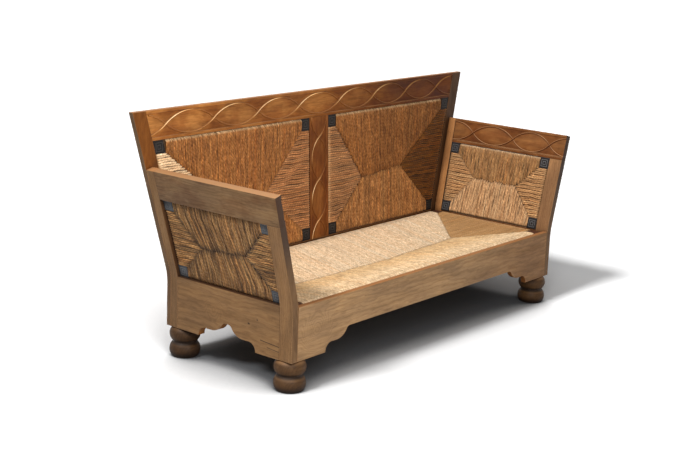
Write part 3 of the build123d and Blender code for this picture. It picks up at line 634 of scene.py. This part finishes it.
# Back panels
# Each of the two back panels is a light frame wound with rush cord, brown with age. The cords run
# from every edge to slanting seams, and wrap over the frame to the rear face. The corner blocks
# stay bare between them and have low square ridges on their face.
CORD_SIDES = 6
CORD_SQUASH = 0.53
CORD_UNEVEN = (-0.0011, 0.0021)
SKIN_DISH = 0.0022
SEAM_SHADE = (0.5, 0.68)
SEAM_SHADE_REACH = (0.008, 0.021)
WINDING_SHADE_TONE = 0.2
STUFFING_SHADE_TONE = 0.12
# the last steps of a cord before its seam on the front and on the rear: how far off, and how sunk
FRONT_TAIL = np.array([(0.0, 0.0025, 0.006), (0.0048, 0.0024, 0.0007)])
REAR_TAIL = np.array([(0.003, 0.0), (0.001, 0.0045)])


def rush_finish(name, straw, dark, contrast):
    """Twisted rush. Each cord has its own tone, streaks along it, and dark flecks, and the grooves of
    its twist are darkened as painted shade. The level cords of a front, marked by half a share, are
    calmer than the rest."""
    material, tree, surface = new_finish(name)
    cord = add_node(tree, "Attribute", {}, attribute_name="straw").outputs
    lay = add_node(tree, "UVMap", {}, uv_map="cords").outputs[0]
    leaf = stretched_noise(tree, lay, (15.0, 0.9, 1), 1.0, 3.0)
    dash = stretched_noise(tree, lay, (52.0, 1.8, 1), 1.0, 3.0, 0.7)
    strand = stretched_noise(tree, lay, (11.0, 2.6, 1), 1.0, 4.0, 0.7)
    strand = maths(tree, "MULTIPLY_ADD", strand, 1.3, -0.15)
    dash = add_node(tree, "Mix", {0: cord["Alpha"], 2: strand, 3: dash}).outputs[0]
    fleck = stretched_noise(tree, lay, (75.0, 2.2, 1), 1.0, 2.0)
    calm = maths(tree, "ABSOLUTE", maths(tree, "SUBTRACT", cord["Alpha"], 0.5))
    lively = remap(tree, calm, 0.0, 0.5, 0.45, 1.0, False)
    leaf = maths(tree, "MULTIPLY", remap(tree, leaf, 0.35, 0.7), lively)
    colour = blend(tree, 1.0, blend(tree, leaf, straw, dark), cord["Color"], "MULTIPLY")
    dashes = blend(tree, remap(tree, dash, 0.30, 0.70), (0.40, 0.32, 0.25), (1.52, 1.54, 1.55))
    colour = blend(tree, maths(tree, "MULTIPLY", lively, contrast), colour, dashes, "MULTIPLY")
    fleck = remap(tree, fleck, 0.56, 0.70, 0.0, 0.8 * contrast)
    colour = blend(tree, fleck, colour, (1.85, 1.87, 1.9), "MULTIPLY")
    parts = add_node(tree, "SeparateXYZ", {0: lay}).outputs
    turns = maths(tree, "MULTIPLY_ADD", parts["X"], 36.0, parts["Y"])
    twist = maths(tree, "SINE", maths(tree, "MULTIPLY", turns, radians(720)))
    # painted shade in the grooves of the twist
    groove = remap(tree, twist, -1.0, 0.0, 0.5 * contrast, 0.0)
    colour = blend(tree, groove, colour, (0.45, 0.36, 0.28), "MULTIPLY")
    tree.links.new(colour, surface.inputs["Base Color"])
    tree.links.new(remap(tree, dash, 0.3, 0.7, 0.75, 0.5, False), surface.inputs["Roughness"])
    surface.inputs["Specular IOR Level"].default_value = 0.2
    surface.inputs["Sheen Weight"].default_value = 0.05
    relief = maths(tree, "MULTIPLY_ADD", dash, 1.5, twist)
    bump = add_node(tree, "Bump", {"Height": relief, "Strength": 0.6, "Distance": 0.0006}).outputs[0]
    tree.links.new(bump, surface.inputs["Normal"])
    return material


def wander(rng, along, across, along_waves, across_waves):
    """Slow seeded waves over a panel, about one high."""
    count = 7
    total = 0.0
    for _ in range(count):
        first = radians(360) / rng.uniform(*along_waves) * rng.choice([-1.0, 1.0])
        second = radians(360) / rng.uniform(*across_waves)
        total = total + np.sin(first * along + second * across + rng.uniform(0, 6.28))
    return total / sqrt(count)


def panel_fields(near, far, low, high, block, apexes, ridge, sag, seed):
    """The fields of a panel, from its low, high, near and far edge. Each has its seam, as places
    along the edge and across it, a rule for the place (u, v) that lies s from the edge at t along
    it, and a rule for how far off the seam is."""
    foot, head = low + block, high - block
    ridge_v = [low + share * (high - low) for share in ridge]
    spans = [far(v) - near(v) for v in ridge_v]
    turns = (near(ridge_v[0]) + apexes[0] * spans[0], far(ridge_v[1]) - apexes[1] * spans[1])
    shares = np.linspace(0.0, 1.0, 25)
    seam_u = turns[0] + shares * (turns[1] - turns[0])
    bowed = np.sin(np.pi * shares) * (sag + 0.003 * np.sin(17 * shares + seed) + 0.002 * np.sin(41 * shares))
    seam_v = ridge_v[0] + shares * (ridge_v[1] - ridge_v[0]) + bowed
    return (
        ([near(foot) + block, *seam_u, far(foot) - block], [foot, *seam_v, foot],
         lambda s, t: (t, low + s), lambda t, seam: seam - low),
        ([near(head) + block, *seam_u, far(head) - block], [head, *seam_v, head],
         lambda s, t: (t, high - s), lambda t, seam: high - seam),
        ([foot, ridge_v[0], head], [near(foot) + block, turns[0], near(head) + block],
         lambda s, t: (near(t) + s, t), lambda t, seam: seam - near(t)),
        ([foot, ridge_v[1], head], [far(foot) - block, turns[1], far(head) - block],
         lambda s, t: (far(t) - s, t), lambda t, seam: far(t) - seam),
    )


def cord_course(length, length_rear, radius, skins, bow, steps):
    """Course of cords round an edge: how far they are from it, their depth, and the skin they are
    on, from 1 for the front to -1 for the rear."""
    front, rear = skins
    ahead = bow + (length - 0.012 - bow) * np.linspace(1.0, 0.0, steps[0])
    behind = bow + (length_rear - 0.008 - bow) * np.linspace(0.0, 1.0, steps[1])
    on_front = np.concatenate([length - FRONT_TAIL[0], ahead], axis=1)
    on_rear = np.concatenate([behind, length_rear - REAR_TAIL[0]], axis=1)
    front_d = front + radius + SKIN_DISH * np.clip((on_front - bow) / (length - bow), 0, 1) ** 1.6
    front_d[:, :3] += FRONT_TAIL[1]
    rear_d = rear - radius - SKIN_DISH * np.clip((on_rear - bow) / (length_rear - bow), 0, 1) ** 1.6
    rear_d[:, -2:] -= REAR_TAIL[1]
    centre = (rear - front) / 2 - radius
    bend = np.radians([58, 20, -20, -58])
    s = np.concatenate([on_front, bow - centre * np.cos(bend), on_rear], axis=1)
    depth = np.concatenate([front_d, (front + rear) / 2 - centre * np.sin(bend), rear_d], axis=1)
    skin = np.concatenate([np.ones(on_front.shape[1]), np.sin(bend), -np.ones(on_rear.shape[1])])
    return s, depth, skin


def wound_panel(
    name, place, near, far, low, high, skins, block, apexes, ridge, tint, material, seed,
    pitches=(0.006, 0.0082), lean=(0.1, 0.1), skew=((0.0, 0.0), (0.0, 0.0)), sag=0.0, sway=(0.0004, 0.0020),
    bunch=(0.03, 0.05), steps=(12, 5), core_inset=0.031, relief=(0.0003, 0.0006),
    gap_shades=((0.3, 0.12), (0.3, 0.15)), unlike=(0.15, 0.15), twist=1.0,
):
    """A panel of rush cords. place(u, v, depth) gives points of the bench, near(v) and far(v) are
    its side edges, skins its front and rear depth, and apexes and ridge say where seams meet. Pairs
    of sizes are for the upright cords and the level ones, and a pair of leans for the two skins.
    The ridge has two heights, one at each apex, and sags between them. skew slants the cords of the
    low and the high edge on each skin, gap_shades are the painted shade between cords and unlike how
    much one cord's tone differs from the next, each on the front and on the rear. twist is how lively
    the cords of the low and the high edge look, from a half to one. The tone also carries painted
    shade at the seams and where cords sink, and painted light where they rise and where they wrap
    the edge."""
    rng = np.random.default_rng(seed)
    front, rear = skins
    bow = 0.0004 + (rear - front) / 2
    points, tones, lays, faces = [], [], [], []
    around = np.linspace(0, radians(360), CORD_SIDES, endpoint=False) + radians(30)
    fields = panel_fields(near, far, low, high, block, apexes, ridge, sag, seed)
    for field, (across, deep, spot, reach) in enumerate(fields):
        sideways = int(field > 1)
        pitch = pitches[sideways]
        width = across[-1] - across[0]
        count = round(width / pitch)
        one_each = (count, 1)
        odd = np.arange(count)[:, None] % 2 == 1

        # where each cord starts, how it leans, and how long it is to the seam on either skin
        shares = rng.uniform(0.85, 1.15, count)
        marks = across[0] + width * np.concatenate([[0.0], np.cumsum(shares)]) / shares.sum()
        start = (marks[:-1, None] + marks[1:, None]) / 2
        radius = np.diff(marks)[:, None] * CORD_SQUASH * rng.uniform(0.94, 1.1, one_each)
        straight = reach(start, np.interp(start, across, deep))
        longest = straight.max()
        pulls = [slant * (across[0] + width / 2 - start) / longest for slant in lean]
        if not sideways:
            pulls = [pull + slants[field] for pull, slants in zip(pulls, skew)]
        lengths = []
        for pull in pulls:
            length = straight
            for _ in range(8):
                end = start + pull * np.clip(length - block, 0.0, None)
                length = 0.5 * length + 0.5 * reach(end, np.interp(end, across, deep))
            lengths.append(length + (np.where(odd, *CORD_UNEVEN) + rng.normal(0, 0.0011, one_each)))

        # the cord's line, which wanders a little and is pushed out where cords crowd
        s, depth, skin = cord_course(*lengths, radius, skins, bow, steps)
        ahead = skin > 0
        t = start + np.where(ahead, *pulls) * np.clip(s - block, 0.0, None)
        left_over = np.where(ahead, *lengths) - s
        free = np.clip(s / 0.05, 0.05, 1.0) * np.clip((left_over + 0.01) / 0.03, 0.35, 1.0)
        wide = ((0.022, 0.075), (0.06, 0.22))[sideways]
        drift = sway[sideways] * wander(rng, s * skin, t, (0.05, 0.22), wide)
        drift = drift + pitch * bunch[sideways] * (np.where(odd, -1.0, 1.0) * rng.uniform(0.4, 1.6, one_each))
        drift = drift + 0.0003 * np.sin(s * rng.uniform(40, 110, one_each) + rng.uniform(0, 6.28, one_each))
        crowd = -np.gradient(drift, axis=0) / pitch
        t = t + free * drift
        heave = relief[sideways] * wander(rng, s * skin, t, (0.05, 0.16), (0.011, 0.028))
        lift = 0.0014 * np.clip(crowd, -0.8, 0.8) + 0.0002 * rng.normal(0, 1, one_each) + heave
        depth = depth - skin * free * lift
        line = place(*spot(s, t), depth)

        # a ring of points round each step of the line
        forward = np.gradient(line, axis=1)
        forward /= np.linalg.norm(forward, axis=2, keepdims=True)
        beside = place(*spot(s, t + 0.001), depth) - line
        beside -= forward * (forward * beside).sum(axis=2, keepdims=True)
        beside /= np.linalg.norm(beside, axis=2, keepdims=True)
        normal = np.cross(forward, beside)
        u, v = spot(s[:, 6:7], t[:, 6:7])
        outward = place(u, v, np.full(one_each, -0.001)) - place(u, v, np.zeros(one_each))
        sign = np.sign((normal[:, 6:7] * outward).sum(axis=2))[:, :, None]
        size = radius * (1.0 + 0.08 * np.sin(s * 75 + rng.uniform(0, 6.28, one_each)))
        size = size[:, :, None, None]
        ring = line[:, :, None] + size * np.cos(around)[:, None] * beside[:, :, None]
        ring = ring + size * np.sin(around)[:, None] * normal[:, :, None]
        index = sum(map(len, points)) + np.arange(ring[..., 0].size).reshape(ring.shape[:3])
        points.append(ring.reshape(-1, 3))
        turned = np.roll(index, -1, axis=2)
        quads = np.stack([index[:, :-1], turned[:, :-1], turned[:, 1:], index[:, 1:]], axis=-1)
        faces += quads.reshape(-1, 4).tolist()
        faces += np.concatenate([index[:, 0, ::-1], index[:, -1]], axis=0).tolist()

        # its tone, with painted shade by the seams, between cords and where they sink, and a painted highlight
        # where they rise and on the edge they wrap over
        own = np.clip(1.0 + rng.normal(0, 1, one_each) * np.where(ahead, *unlike), 0.55, 1.5)
        warm = rng.normal(0.0, 0.035, one_each)
        rgb, edge = tint(field, s / longest, (t - across[0]) / width, skin < -0.5)
        off_seam = np.clip(left_over / np.where(ahead, *SEAM_SHADE_REACH), 0, 1)
        shade = own * (1.0 - np.where(ahead, *SEAM_SHADE) * (1.0 - off_seam))
        shade = shade * (1.0 + 0.3 * np.clip(crowd * free, -0.9, 0.9)) * (1.0 + 130.0 * heave * free)
        rgb = rgb * np.stack([shade, shade * (1 - warm), shade * (1 - 2 * warm)], axis=-1)
        # painted highlight along the edge where the cords wrap over the frame on the front skin; on the arm
        # panels' lower and side edges a painted shade instead
        painted_light = (np.exp(-((s - bow * 0.3) / 0.0045) ** 2) * (skin >= 0))[..., None]
        rgb = rgb + painted_light * (np.asarray(edge) - rgb) * own[..., None]
        # painted shade between cords: the side of each cord that faces into the panel darkens to its gap shade,
        # and its outer crest is lightened
        gap = np.where(ahead, gap_shades[0][sideways], gap_shades[1][sideways])[:, None]
        crest = np.clip((np.sin(around) * sign + 0.3) / 1.1, 0, 1) ** (2.4 - 3.0 * gap)
        rgb = rgb[:, :, None] * (gap + (1.34 - 1.8 * gap) * crest)[..., None]
        lively = (skin > -0.5) * (0.5 if sideways else twist)
        lively = np.broadcast_to(lively[:, None, None], (*rgb.shape[:3], 1))
        tones.append(np.concatenate([rgb, lively], axis=-1).reshape(-1, 4))

        # places along and round each cord, far enough apart for no two cords to match
        walked = np.linalg.norm(np.diff(line, axis=1), axis=2)
        gone = np.concatenate([np.zeros(one_each), np.cumsum(walked, axis=1)], axis=1)[:, :, None]
        number = rng.uniform(0, 900) + 7.0 * np.arange(count)
        left = number[:, None, None] + np.arange(CORD_SIDES) / CORD_SIDES
        right = left + 1 / CORD_SIDES
        first, last = gone[:, :-1], gone[:, 1:]
        lay = np.broadcast_arrays(first, left, first, right, last, right, last, left)
        lays.append(np.stack(lay, axis=-1).reshape(-1, 2))
        lays.append(np.repeat(np.concatenate([number, number]), CORD_SIDES)[:, None] * np.array([[0.0, 1.0]]))

    def add_slab(outline, levels, tone):
        """Adds a flat solid between two depths, of one dark tone that stands as painted shade."""
        outline = np.array(outline)
        count = len(outline)
        first = sum(map(len, points)) + np.arange(count)
        second = first + count
        sides = np.stack([np.roll(first, -1), first, second, np.roll(second, -1)], axis=-1)
        slab = [first.tolist(), second[::-1].tolist(), *sides.tolist()]
        for level in levels:
            points.append(place(*outline.T, np.full(count, level)))
        faces.extend(slab)
        tones.append(np.full((2 * count, 4), tone))
        lays.append(np.zeros((sum(map(len, slab)), 2)))

    # the first turns of the winding, flat under the cords along each edge, seen only between them, dark as painted
    # shade
    thin = (front + rear) / 2 + np.array([-0.003, 0.003])
    insets = (0.0009, 0.0046, 0.0046, 0.0009)
    heights = [low + block] * 2 + [high - block] * 2
    for side, inward in ((near, 1), (far, -1)):
        add_slab([(side(v) + inward * inset, v) for v, inset in zip(heights, insets)], thin, WINDING_SHADE_TONE)
    for v, inward in ((low, 1), (high, -1)):
        spots = [near(v) + block] * 2 + [far(v) - block] * 2
        add_slab([(u, v + inward * inset) for u, inset in zip(spots, insets)], thin, WINDING_SHADE_TONE)

    # the stuffing between the two skins of cord, out of sight but through the spaces between cords, and dark as
    # painted shade
    at = block - 0.004
    heights = (low + core_inset, low + at, low + at, high - at, high - at, high - core_inset)
    insets = (at, at, core_inset, core_inset, at, at)
    outline = [(near(v) + inset, v) for v, inset in zip(heights, insets)]
    outline += [(far(v) - inset, v) for v, inset in zip(heights[::-1], insets)]
    add_slab(outline, (front + 0.0075, rear - 0.0075), STUFFING_SHADE_TONE)

    piece = new_piece(name, np.concatenate(points).tolist(), faces, material, radians(60), False)
    piece.data.uv_layers.new(name="cords").data.foreach_set("uv", np.concatenate(lays).ravel().astype(np.float32))
    paint_points(piece, "straw", np.concatenate(tones))
    return piece


def back_tint(levels, fading):
    """Tone of a back panel, field by field, and of its edge where the cords wrap, a painted highlight.
    The upper field fades to fading of its tone away from the middle of the back, a painted shade of
    light falling off."""

    def tint(field, inward, along, rearward):
        fade = np.clip(along, 0.0, 1.0) * (field == 1) * (1.0 - fading)
        level = np.where(rearward[..., None], (0.85, 0.80, 0.72), np.array(levels)[field])
        edge = ((1.2, 1.5, 2.0), (1.8, 3.1, 6.5), (1.7, 2.5, 4.5), (1.2, 1.6, 2.2))[field]
        return level * (1.0 - fade + 0 * inward)[..., None], edge

    return tint


back_rush = rush_finish("back_rush", (0.45, 0.182, 0.048), (0.29, 0.106, 0.025), 0.78)
BACK_SEAMS = {"left": ((0.34, 0.375), (0.45, 0.45)), "right": ((0.287, 0.375), (0.427, 0.467))}
# painted light falling off from left to right: the outer fields are pale on the left panel and dark on the right
BACK_TONES = {
    "left": back_tint([(1.1, 1.12, 1.1), (1.0, 0.98, 0.92), (1.12, 1.22, 1.68), (2.3, 4.0, 9.0)], 1.0),
    "right": back_tint([(1.1, 1.22, 1.4), (0.92, 0.90, 0.84), (1.0, 1.18, 1.75), (0.39, 0.34, 0.16)], 0.68),
}
BLOCK_FACES = ((0.0015, 1.0), (0.0185, -1.0))
back_block = 0.048
back_panel_x = 0.741


def back_near(v):
    """Inner edge of a back panel, beside the muntin."""
    return muntin_width / 2 + 0 * v


def back_far(v):
    """Outer edge of a back panel, beside the flared stile."""
    return back_panel_x + tan(flare) * (v - bend_z)


def block_ridges(name, place, near, far, low, high, block, faces_cut, material):
    """Two low square ridges, one inside the other, on the corner blocks of a panel. faces_cut are
    the faces that have them, each as its depth and 1 where it looks to the front, -1 to the rear."""
    section = ((-0.0017, -0.0008), (-0.0012, 0.0003), (0.0, 0.0006), (0.0012, 0.0003), (0.0017, -0.0008))
    turns = ((-1, -1), (-1, 1), (1, 1), (1, -1))
    points, faces = [], []
    for face, inward in faces_cut:
        for v in (low + block / 2, high - block / 2):
            for u in (near(v) + block / 2, far(v) - block / 2):
                for half in (0.31 * block, 0.14 * block):
                    first = len(points)
                    for up, out in turns:
                        for off, rise in section:
                            points.append((u + out * (half + off), v + up * (half + off), face - inward * rise))
                    for corner in range(4):
                        beyond = (corner + 1) % 4
                        for edge in range(5):
                            here = [first + corner * 5 + e for e in (edge, (edge + 1) % 5)]
                            faces.append(here + [first + beyond * 5 + e for e in ((edge + 1) % 5, edge)])
    ridges = new_piece(name, place(*np.array(points).T).tolist(), faces, material)
    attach(ridges, "frame")


ridge_black = oak_finish("ridge_black", ALONG_X, 51.0, (0.060, 0.052, 0.046), top=(0.075, 0.066, 0.060))
ridge_grey = oak_finish("ridge_grey", ALONG_X, 52.0, (0.105, 0.105, 0.110), top=(0.11, 0.11, 0.115))
for side, sign in SIDES:

    def back_place(u, v, depth, sign=sign):
        """Point of a back panel: out from the middle, up, and depth from the front face."""
        return np.stack([sign * u, back_y + (v - bend_z) * lean + depth, v], axis=-1)

    opening = (back_place, back_near, back_far, bend_z, top_rail_low)
    panel = wound_panel(
        "back_rush_" + side, *opening, (-0.003, 0.020), back_block, *BACK_SEAMS[side], BACK_TONES[side],
        back_rush, 11 + sign,
    )
    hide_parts("back_panel_" + side + "_rush")
    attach(panel, "frame")
    block_ridges("back_block_ridges_" + side, *opening, back_block, BLOCK_FACES[:1], ridge_black)

# Arm panels
# Wound like the back, seen from both sides. The cords are paler, looser, and lean to the middle.
arm_rush = rush_finish("arm_rush", (0.46, 0.262, 0.113), (0.27, 0.135, 0.050), 0.85)
ARM_RIDGES = {"left": (0.50, 0.44), "right": (0.535, 0.535)}
arm_block = 0.043
arm_panel_front_y = -0.248
arm_panel_high = 0.5854


def arm_near(v):
    """Front edge of an arm panel."""
    return arm_panel_front_y + 0 * v


def arm_far(v):
    """Rear edge of an arm panel, which leans back with the rear post."""
    return arm_panel_rear_y + lean * (v - bend_z)


def arm_tint(field, inward, along, rearward):
    """The inner face is warmer, and the outer face greyer, with a painted shadow where it goes in under the frame.
    The wrapped edges of the inner face take a painted highlight at the top and a painted shade at the bottom and
    sides.
    """
    edge = ((0.5, 0.45, 0.4), (1.5, 1.9, 2.8), (0.3, 0.25, 0.2), (0.3, 0.25, 0.2))[field]
    inner = np.array([(1.26, 1.30, 1.44), (0.82, 0.73, 0.60), (1.04, 0.99, 0.96), (1.04, 0.99, 0.96)])[field]
    outer = np.array([0.45, 0.48, 0.51, 0.55])[field] * np.array([1.0, 0.93, 0.77])
    rail_shadow = np.clip(0.4 + inward / (0.08, 0.10, 0.08, 0.08)[field], 0.0, 1.0)[..., None]
    return np.where(rearward[..., None], outer * rail_shadow, inner + 0 * rail_shadow), edge


for side, sign in SIDES:

    def arm_panel_place(u, v, depth, sign=sign):
        """Point of an arm panel: front to rear, up, and depth from the inner face outward."""
        inset = 0.031 - depth
        z = v + (inset - 0.021) * sin(flare) * (v - bend_z) / (arm_panel_high - bend_z)
        x = side_x + (z - bend_z) * tan(flare) - inset / cos(flare)
        return np.stack([sign * x, u, z], axis=-1)

    opening = (arm_panel_place, arm_near, arm_far, bend_z, arm_panel_high)
    panel = wound_panel(
        "arm_rush_" + side, *opening, (0.0, 0.020), arm_block, (0.285, 0.285), ARM_RIDGES[side],
        arm_tint, arm_rush, 31 + sign, pitches=(0.0062, 0.0078),
        lean=(0.05, 0.16), skew=((0.0, 0.0), (0.24, -0.24)), sway=(0.0011, 0.0012), bunch=(0.08, 0.08),
        steps=(9, 9), relief=(0.0006, 0.0009), gap_shades=((0.5, 0.46), (0.02, 0.02)), unlike=(0.09, 0.32), twist=0.75,
    )
    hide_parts("arm_panel_" + side + "_rush")
    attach(panel, "frame")
    block_ridges("arm_block_ridges_" + side, *opening, arm_block, BLOCK_FACES, ridge_grey)

# Seat
# One loose frame over the whole length, wound with paler rush, that drops between the rails.
seat_rush = rush_finish("seat_rush", (0.80, 0.600, 0.390), (0.68, 0.48, 0.288), 0.5)
seat_top = 0.299
seat_half = 0.766
seat_front_y, seat_rear_y = -0.283, 0.259
seat_block = 0.050


def seat_place(u, v, depth):
    """Point of the seat: along, back, and depth below its top."""
    return np.stack([u, v, seat_top - depth], axis=-1)


def seat_tint(field, inward, along, rearward):
    """The front field is brightest at its edge, partly its colour and partly painted light, and the right end is
    darker, a painted shade.
    """
    level = np.array([(0.90, 0.80, 0.63), (1.0, 1.0, 1.0), (0.97, 0.96, 0.93), (0.61, 0.45, 0.27)])[field]
    pale = (field == 0) * np.clip((0.62 - inward) / 0.3, 0.0, 1.0)[..., None]
    return level + pale * (np.array([0.96, 0.93, 0.86]) - level), (1.1, 1.1, 1.1)


seat = wound_panel(
    "seat_rush_top", seat_place, lambda v: -seat_half + 0 * v, lambda v: seat_half + 0 * v,
    seat_front_y, seat_rear_y, (0.0, 0.033), seat_block, (0.11, 0.24), (0.335, 0.363),
    seat_tint, seat_rush, 71, pitches=(0.006, 0.006),
    lean=(0.06, 0.06), skew=((-0.5, -0.36), (0.0, 0.0)), sag=-0.02, sway=(0.0006, 0.0009), steps=(10, 4),
    core_inset=0.039, relief=(0.0002, 0.0003), gap_shades=((0.6, 0.5), (0.4, 0.4)), unlike=(0.06, 0.06),
)
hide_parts("seat_rush")
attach(seat, "seat")

# Floor, light and camera
# A plain pale floor, one broad soft light from the left and above, one nearer in front, and fill
# from all round, most of it level. The floor is brighter to the camera alone, so that it goes
# white and still keeps the bench's shadow, and near and under the bench its colour darkens with
# ambient occlusion, a painted shadow.
FLOOR_SIZE = 60.0
FLOOR_SHADOW = (0.095, 0.097, 0.102)
FLOOR_WHITE = (1.3, 1.3, 1.3)
FLOOR_GREY = (0.5, 0.5, 0.5)


def seen_directly(tree):
    """One where the camera looks, also by way of gloss or glass, and nought for other light."""
    rays = add_node(tree, "LightPath", {}).outputs
    seen = maths(tree, "MAXIMUM", rays["Is Camera Ray"], rays["Is Glossy Ray"])
    return maths(tree, "MAXIMUM", seen, rays["Is Transmission Ray"])


floor_mesh = bpy.data.meshes.new("floor")
half = FLOOR_SIZE / 2
corners = [(-half, -half, 0.0), (half, -half, 0.0), (half, half, 0.0), (-half, half, 0.0)]
floor_mesh.from_pydata(corners, [], [(0, 1, 2, 3)])
floor = put("floor", floor_mesh)
floor_finish, tree, surface = new_finish("floor_paper")
tree.nodes.remove(surface)
# painted shadow: ambient occlusion darkens the floor's colour near and under the bench
under = add_node(tree, "AmbientOcclusion", {"Distance": 1.0}, samples=32).outputs["AO"]
under = remap(tree, under, 0.30, 0.88, smooth=False)
shown = blend(tree, under, FLOOR_SHADOW, FLOOR_WHITE)
paper = blend(tree, seen_directly(tree), FLOOR_GREY, shown)
matt = add_node(tree, "BsdfDiffuse", {"Color": paper})
tree.links.new(matt.outputs[0], tree.nodes["Material Output"].inputs["Surface"])
floor_mesh.materials.append(floor_finish)

world = bpy.data.worlds.new("studio")
bpy.context.scene.world = world
world.use_nodes = True
tree = world.node_tree
towards = add_node(tree, "SeparateXYZ", {0: add_node(tree, "TexCoord", {}).outputs["Generated"]})
fill = remap(tree, towards.outputs["Z"], 0.0, 1.0, 0.45, 0.10, False)
strength = add_node(tree, "Mix", {0: seen_directly(tree), 2: fill, 3: 1.0}).outputs[0]
background = tree.nodes["Background"]
background.inputs["Color"].default_value = (1.0, 1.0, 1.0, 1.0)
tree.links.new(strength, background.inputs["Strength"])

lamp = bpy.data.lights.new("soft_sun", "SUN")
lamp.energy = 2.8
lamp.angle = radians(12)
sun = put("soft_sun", lamp)
sun_ray = Vector((0.595, -0.056, -0.700))
sun.rotation_euler = sun_ray.to_track_quat("-Z", "Y").to_euler()

panel_lamp = bpy.data.lights.new("front_panel", "AREA")
panel_lamp.energy = 58.0
panel_lamp.size = 1.4
front_light = put("front_panel", panel_lamp)
front_light.location = (-1.9, -2.0, 1.7)
front_ray = Vector((-0.7, 0.1, 0.5)) - front_light.location
front_light.rotation_euler = front_ray.to_track_quat("-Z", "Y").to_euler()

eye = bpy.data.cameras.new("camera")
eye.sensor_width = 36.0
eye.sensor_fit = "HORIZONTAL"
eye.lens = 70.96
eye.clip_end = 100.0
camera = put("camera", eye)
yaw, pitch, roll = radians(51.25), radians(-13.777), radians(2.278)
ahead = Vector((sin(yaw) * cos(pitch), cos(yaw) * cos(pitch), sin(pitch)))
level = Vector((cos(yaw), -sin(yaw), 0.0))
above = level.cross(ahead)
right = cos(roll) * level + sin(roll) * above
up = -sin(roll) * level + cos(roll) * above
turned = Matrix((right, up, -ahead)).transposed()
camera_place = (-4.03412, -3.12482, 1.61007)
camera.matrix_world = Matrix.Translation(camera_place) @ turned.to_4x4()
bpy.context.scene.camera = camera

view = bpy.context.scene.view_settings
view.view_transform = "Standard"
